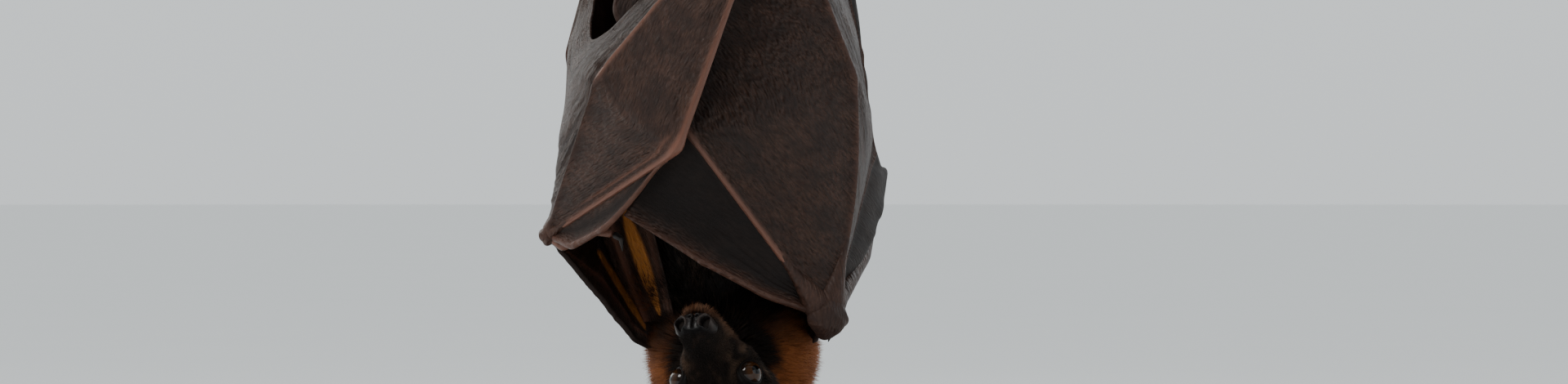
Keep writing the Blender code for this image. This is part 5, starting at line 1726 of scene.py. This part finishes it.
def build_stage():
    """A plain pale floor, soft lights, and the camera."""
    scene = bpy.context.scene
    bm = bmesh.new()
    bmesh.ops.create_circle(bm, cap_ends=True, segments=64, radius=60.0)
    pale = Finish("floor_pale", Roughness=0.9, Specular_IOR_Level=0.1)
    tone = pale.noise(pale.spots(), 3.0, 2.0)
    pale.set(Base_Color=pale.mix(tone, (0.90, 0.91, 0.91), (0.92, 0.93, 0.925)))
    floor = object_from("floor", bm, pale.material)

    world = bpy.data.worlds.new("studio")
    world.use_nodes = True
    nodes, links = world.node_tree.nodes, world.node_tree.links
    way = nodes.new("ShaderNodeSeparateXYZ")
    links.new(nodes.new("ShaderNodeTexCoord").outputs["Generated"], way.inputs[0])
    light = None
    for axis, low, high, start, end in (("Z", 0.0, 1.0, 0.81, 1.45), ("Y", -0.6, 0.5, 0.18, 1.1)):
        span = nodes.new("ShaderNodeMapRange")  # brighter overhead, and dimmer on the side of the camera
        for key, value in zip(("From Min", "From Max", "To Min", "To Max"), (low, high, start, end)):
            span.inputs[key].default_value = value
        links.new(way.outputs[axis], span.inputs["Value"])
        if light is None:
            light = span.outputs[0]
        else:
            both = nodes.new("ShaderNodeMath")
            both.operation = "MULTIPLY"
            links.new(light, both.inputs[0])
            links.new(span.outputs[0], both.inputs[1])
            light = both.outputs[0]
    nodes["Background"].inputs["Color"].default_value = (0.93, 0.98, 1.0, 1.0)
    links.new(light, nodes["Background"].inputs["Strength"])
    scene.world = world

    middle = (0.0, -0.02, 0.17)
    area_light("key", (-0.95, -0.95, 1.25), middle, 0.55, 15.0, (1.0, 0.98, 0.95))
    area_light("fill", (1.3, -1.2, 0.55), middle, 1.0, 4.0, (0.93, 0.97, 1.0))
    area_light("back_left", (-0.9, 0.9, 0.7), middle, 0.7, 4.0, (1.0, 0.97, 0.9))
    area_light("back_right", (0.9, 0.8, 0.8), middle, 0.7, 2.5, (0.95, 0.98, 1.0))

    camera = bpy.data.cameras.new("camera")
    camera.lens, camera.sensor_width, camera.sensor_fit = 125.0, 36.0, "HORIZONTAL"
    camera.clip_start, camera.clip_end = 0.05, 200.0
    holder = bpy.data.objects.new("camera", camera)
    holder.location = (0.0297, -2.2 + HANG[1] * MM, 0.1425)
    holder.rotation_euler = (math.pi / 2, 0.0, 0.0)
    scene.collection.objects.link(holder)
    scene.camera = holder


# ---------------------------------------------------------------- the add-on


def length_of(name, description, default):
    """A length that a user may change, given in millimetres."""
    text = {"name": name, "description": description}
    return bpy.props.FloatProperty(**text, default=default * MM, min=0.5 * MM, unit="LENGTH")


def count_of(name, description, default, most):
    """A number of tufts that a user may change."""
    text = {"name": name, "description": description}
    return bpy.props.IntProperty(**text, default=default, min=100, max=most)


def shade_of(name, description, default):
    """A colour that a user may change."""
    text = {"name": name, "description": description}
    return bpy.props.FloatVectorProperty(**text, default=default, min=0.0, max=1.0, subtype="COLOR")


class FoxSizes(bpy.types.PropertyGroup):
    """Sizes of the coat that a user may change."""

    face_fur: length_of("Face fur", "Length of the fur on the face", 2.4)
    ruff_fur: length_of("Ruff fur", "Length of the fur of the ruff", 9.5)
    body_fur: length_of("Body fur", "Length of the fur on trunk and limbs", 8.5)
    head_tufts: count_of("Head tufts", "How many tufts cover the head", 34000, 38000)
    ruff_tufts: count_of("Ruff tufts", "How many tufts make the ruff", 37000, 38000)
    body_tufts: count_of("Body tufts", "How many tufts cover trunk and limbs", 42000, 56000)


class FoxColours(bpy.types.PropertyGroup):
    """Colours that a user may change."""

    skin_dark: shade_of("Wing skin", "Darker shade of the wing skin", (0.0265, 0.0124, 0.0085))
    skin_pale: shade_of("Wing skin, worn", "Paler shade of the wing skin", (0.068, 0.0330, 0.0220))
    # painted glow: the orange of thin skin lit from behind, put into the colour
    painted_glow: shade_of("Thin skin", "Where the skin is thin enough to glow", (0.48, 0.175, 0.038))
    bone_red: shade_of("Bone ridges", "Skin drawn tight over the bones", (0.190, 0.082, 0.055))
    fur_dark: shade_of("Dark fur", "Face, chest and back", (0.011, 0.0070, 0.0055))
    fur_rust: shade_of("Rusty fur", "The ruff", (0.27, 0.088, 0.026))
    fur_frost: shade_of("Frosting", "Pale hairs round eyes and muzzle", (0.25, 0.150, 0.095))
    iris: shade_of("Iris", "Colour of the eyes", (0.050, 0.019, 0.006))
    base_colour: shade_of("Base", "Stained wood of the base", (0.020, 0.016, 0.014))


class FOX_OT_wings(bpy.types.Operator):
    """Build both wings"""

    bl_idname, bl_label = "fox.wings", "Wings"

    def execute(self, context):
        build_wing("l")
        build_wing("r")
        return {"FINISHED"}


class FOX_OT_body(bpy.types.Operator):
    """Build the skin of trunk, neck, upper arms and legs"""

    bl_idname, bl_label = "fox.body", "Body"

    def execute(self, context):
        build_body()
        return {"FINISHED"}


class FOX_OT_head(bpy.types.Operator):
    """Build the head, its lids and nose, the eyes and the ears"""

    bl_idname, bl_label = "fox.head", "Head"

    def execute(self, context):
        build_head()
        build_eyes()
        build_ears()
        return {"FINISHED"}


class FOX_OT_feet(bpy.types.Operator):
    """Build the feet and every claw"""

    bl_idname, bl_label = "fox.feet", "Feet and claws"

    def execute(self, context):
        build_feet()
        return {"FINISHED"}


class FOX_OT_coat(bpy.types.Operator):
    """Grow the coat over head, ruff and body"""

    bl_idname, bl_label = "fox.coat", "Coat"

    def execute(self, context):
        build_coats()
        return {"FINISHED"}


class FOX_OT_stand(bpy.types.Operator):
    """Build the perch and the display stand"""

    bl_idname, bl_label = "fox.stand", "Perch and stand"

    def execute(self, context):
        build_perch()
        build_stand()
        return {"FINISHED"}


class FOX_OT_stage(bpy.types.Operator):
    """Lay the floor and set the lights and the camera"""

    bl_idname, bl_label = "fox.stage", "Stage"

    def execute(self, context):
        build_stage()
        return {"FINISHED"}


STEPS = (FOX_OT_wings, FOX_OT_body, FOX_OT_head, FOX_OT_feet, FOX_OT_coat, FOX_OT_stand, FOX_OT_stage)


class FOX_PT_panel(bpy.types.Panel):
    """The sizes, colours and steps in the sidebar"""

    bl_idname, bl_label = "FOX_PT_panel", "Flying fox"
    bl_space_type, bl_region_type, bl_category = "VIEW_3D", "UI", "Flying fox"

    def draw(self, context):
        for group in (context.scene.fox_sizes, context.scene.fox_colours):
            for name in group.bl_rna.properties.keys():
                if name not in ("rna_type", "name"):
                    self.layout.prop(group, name)
        for step in STEPS:
            self.layout.operator(step.bl_idname)


CLASSES = (FoxSizes, FoxColours, *STEPS, FOX_PT_panel)


def register():
    """Registers the classes, and gives each scene its sizes and colours."""
    for kind in CLASSES:
        bpy.utils.register_class(kind)
    bpy.types.Scene.fox_sizes = bpy.props.PointerProperty(type=FoxSizes)
    bpy.types.Scene.fox_colours = bpy.props.PointerProperty(type=FoxColours)


def unregister():
    """Takes back what register did."""
    del bpy.types.Scene.fox_sizes
    del bpy.types.Scene.fox_colours
    for kind in reversed(CLASSES):
        bpy.utils.unregister_class(kind)


def main():
    """Builds every piece and the stage."""
    register()
    bpy.ops.fox.wings()
    bpy.ops.fox.body()
    bpy.ops.fox.head()
    bpy.ops.fox.feet()
    bpy.ops.fox.coat()
    bpy.ops.fox.stand()
    bpy.ops.fox.stage()


if __name__ == "__main__":
    main()
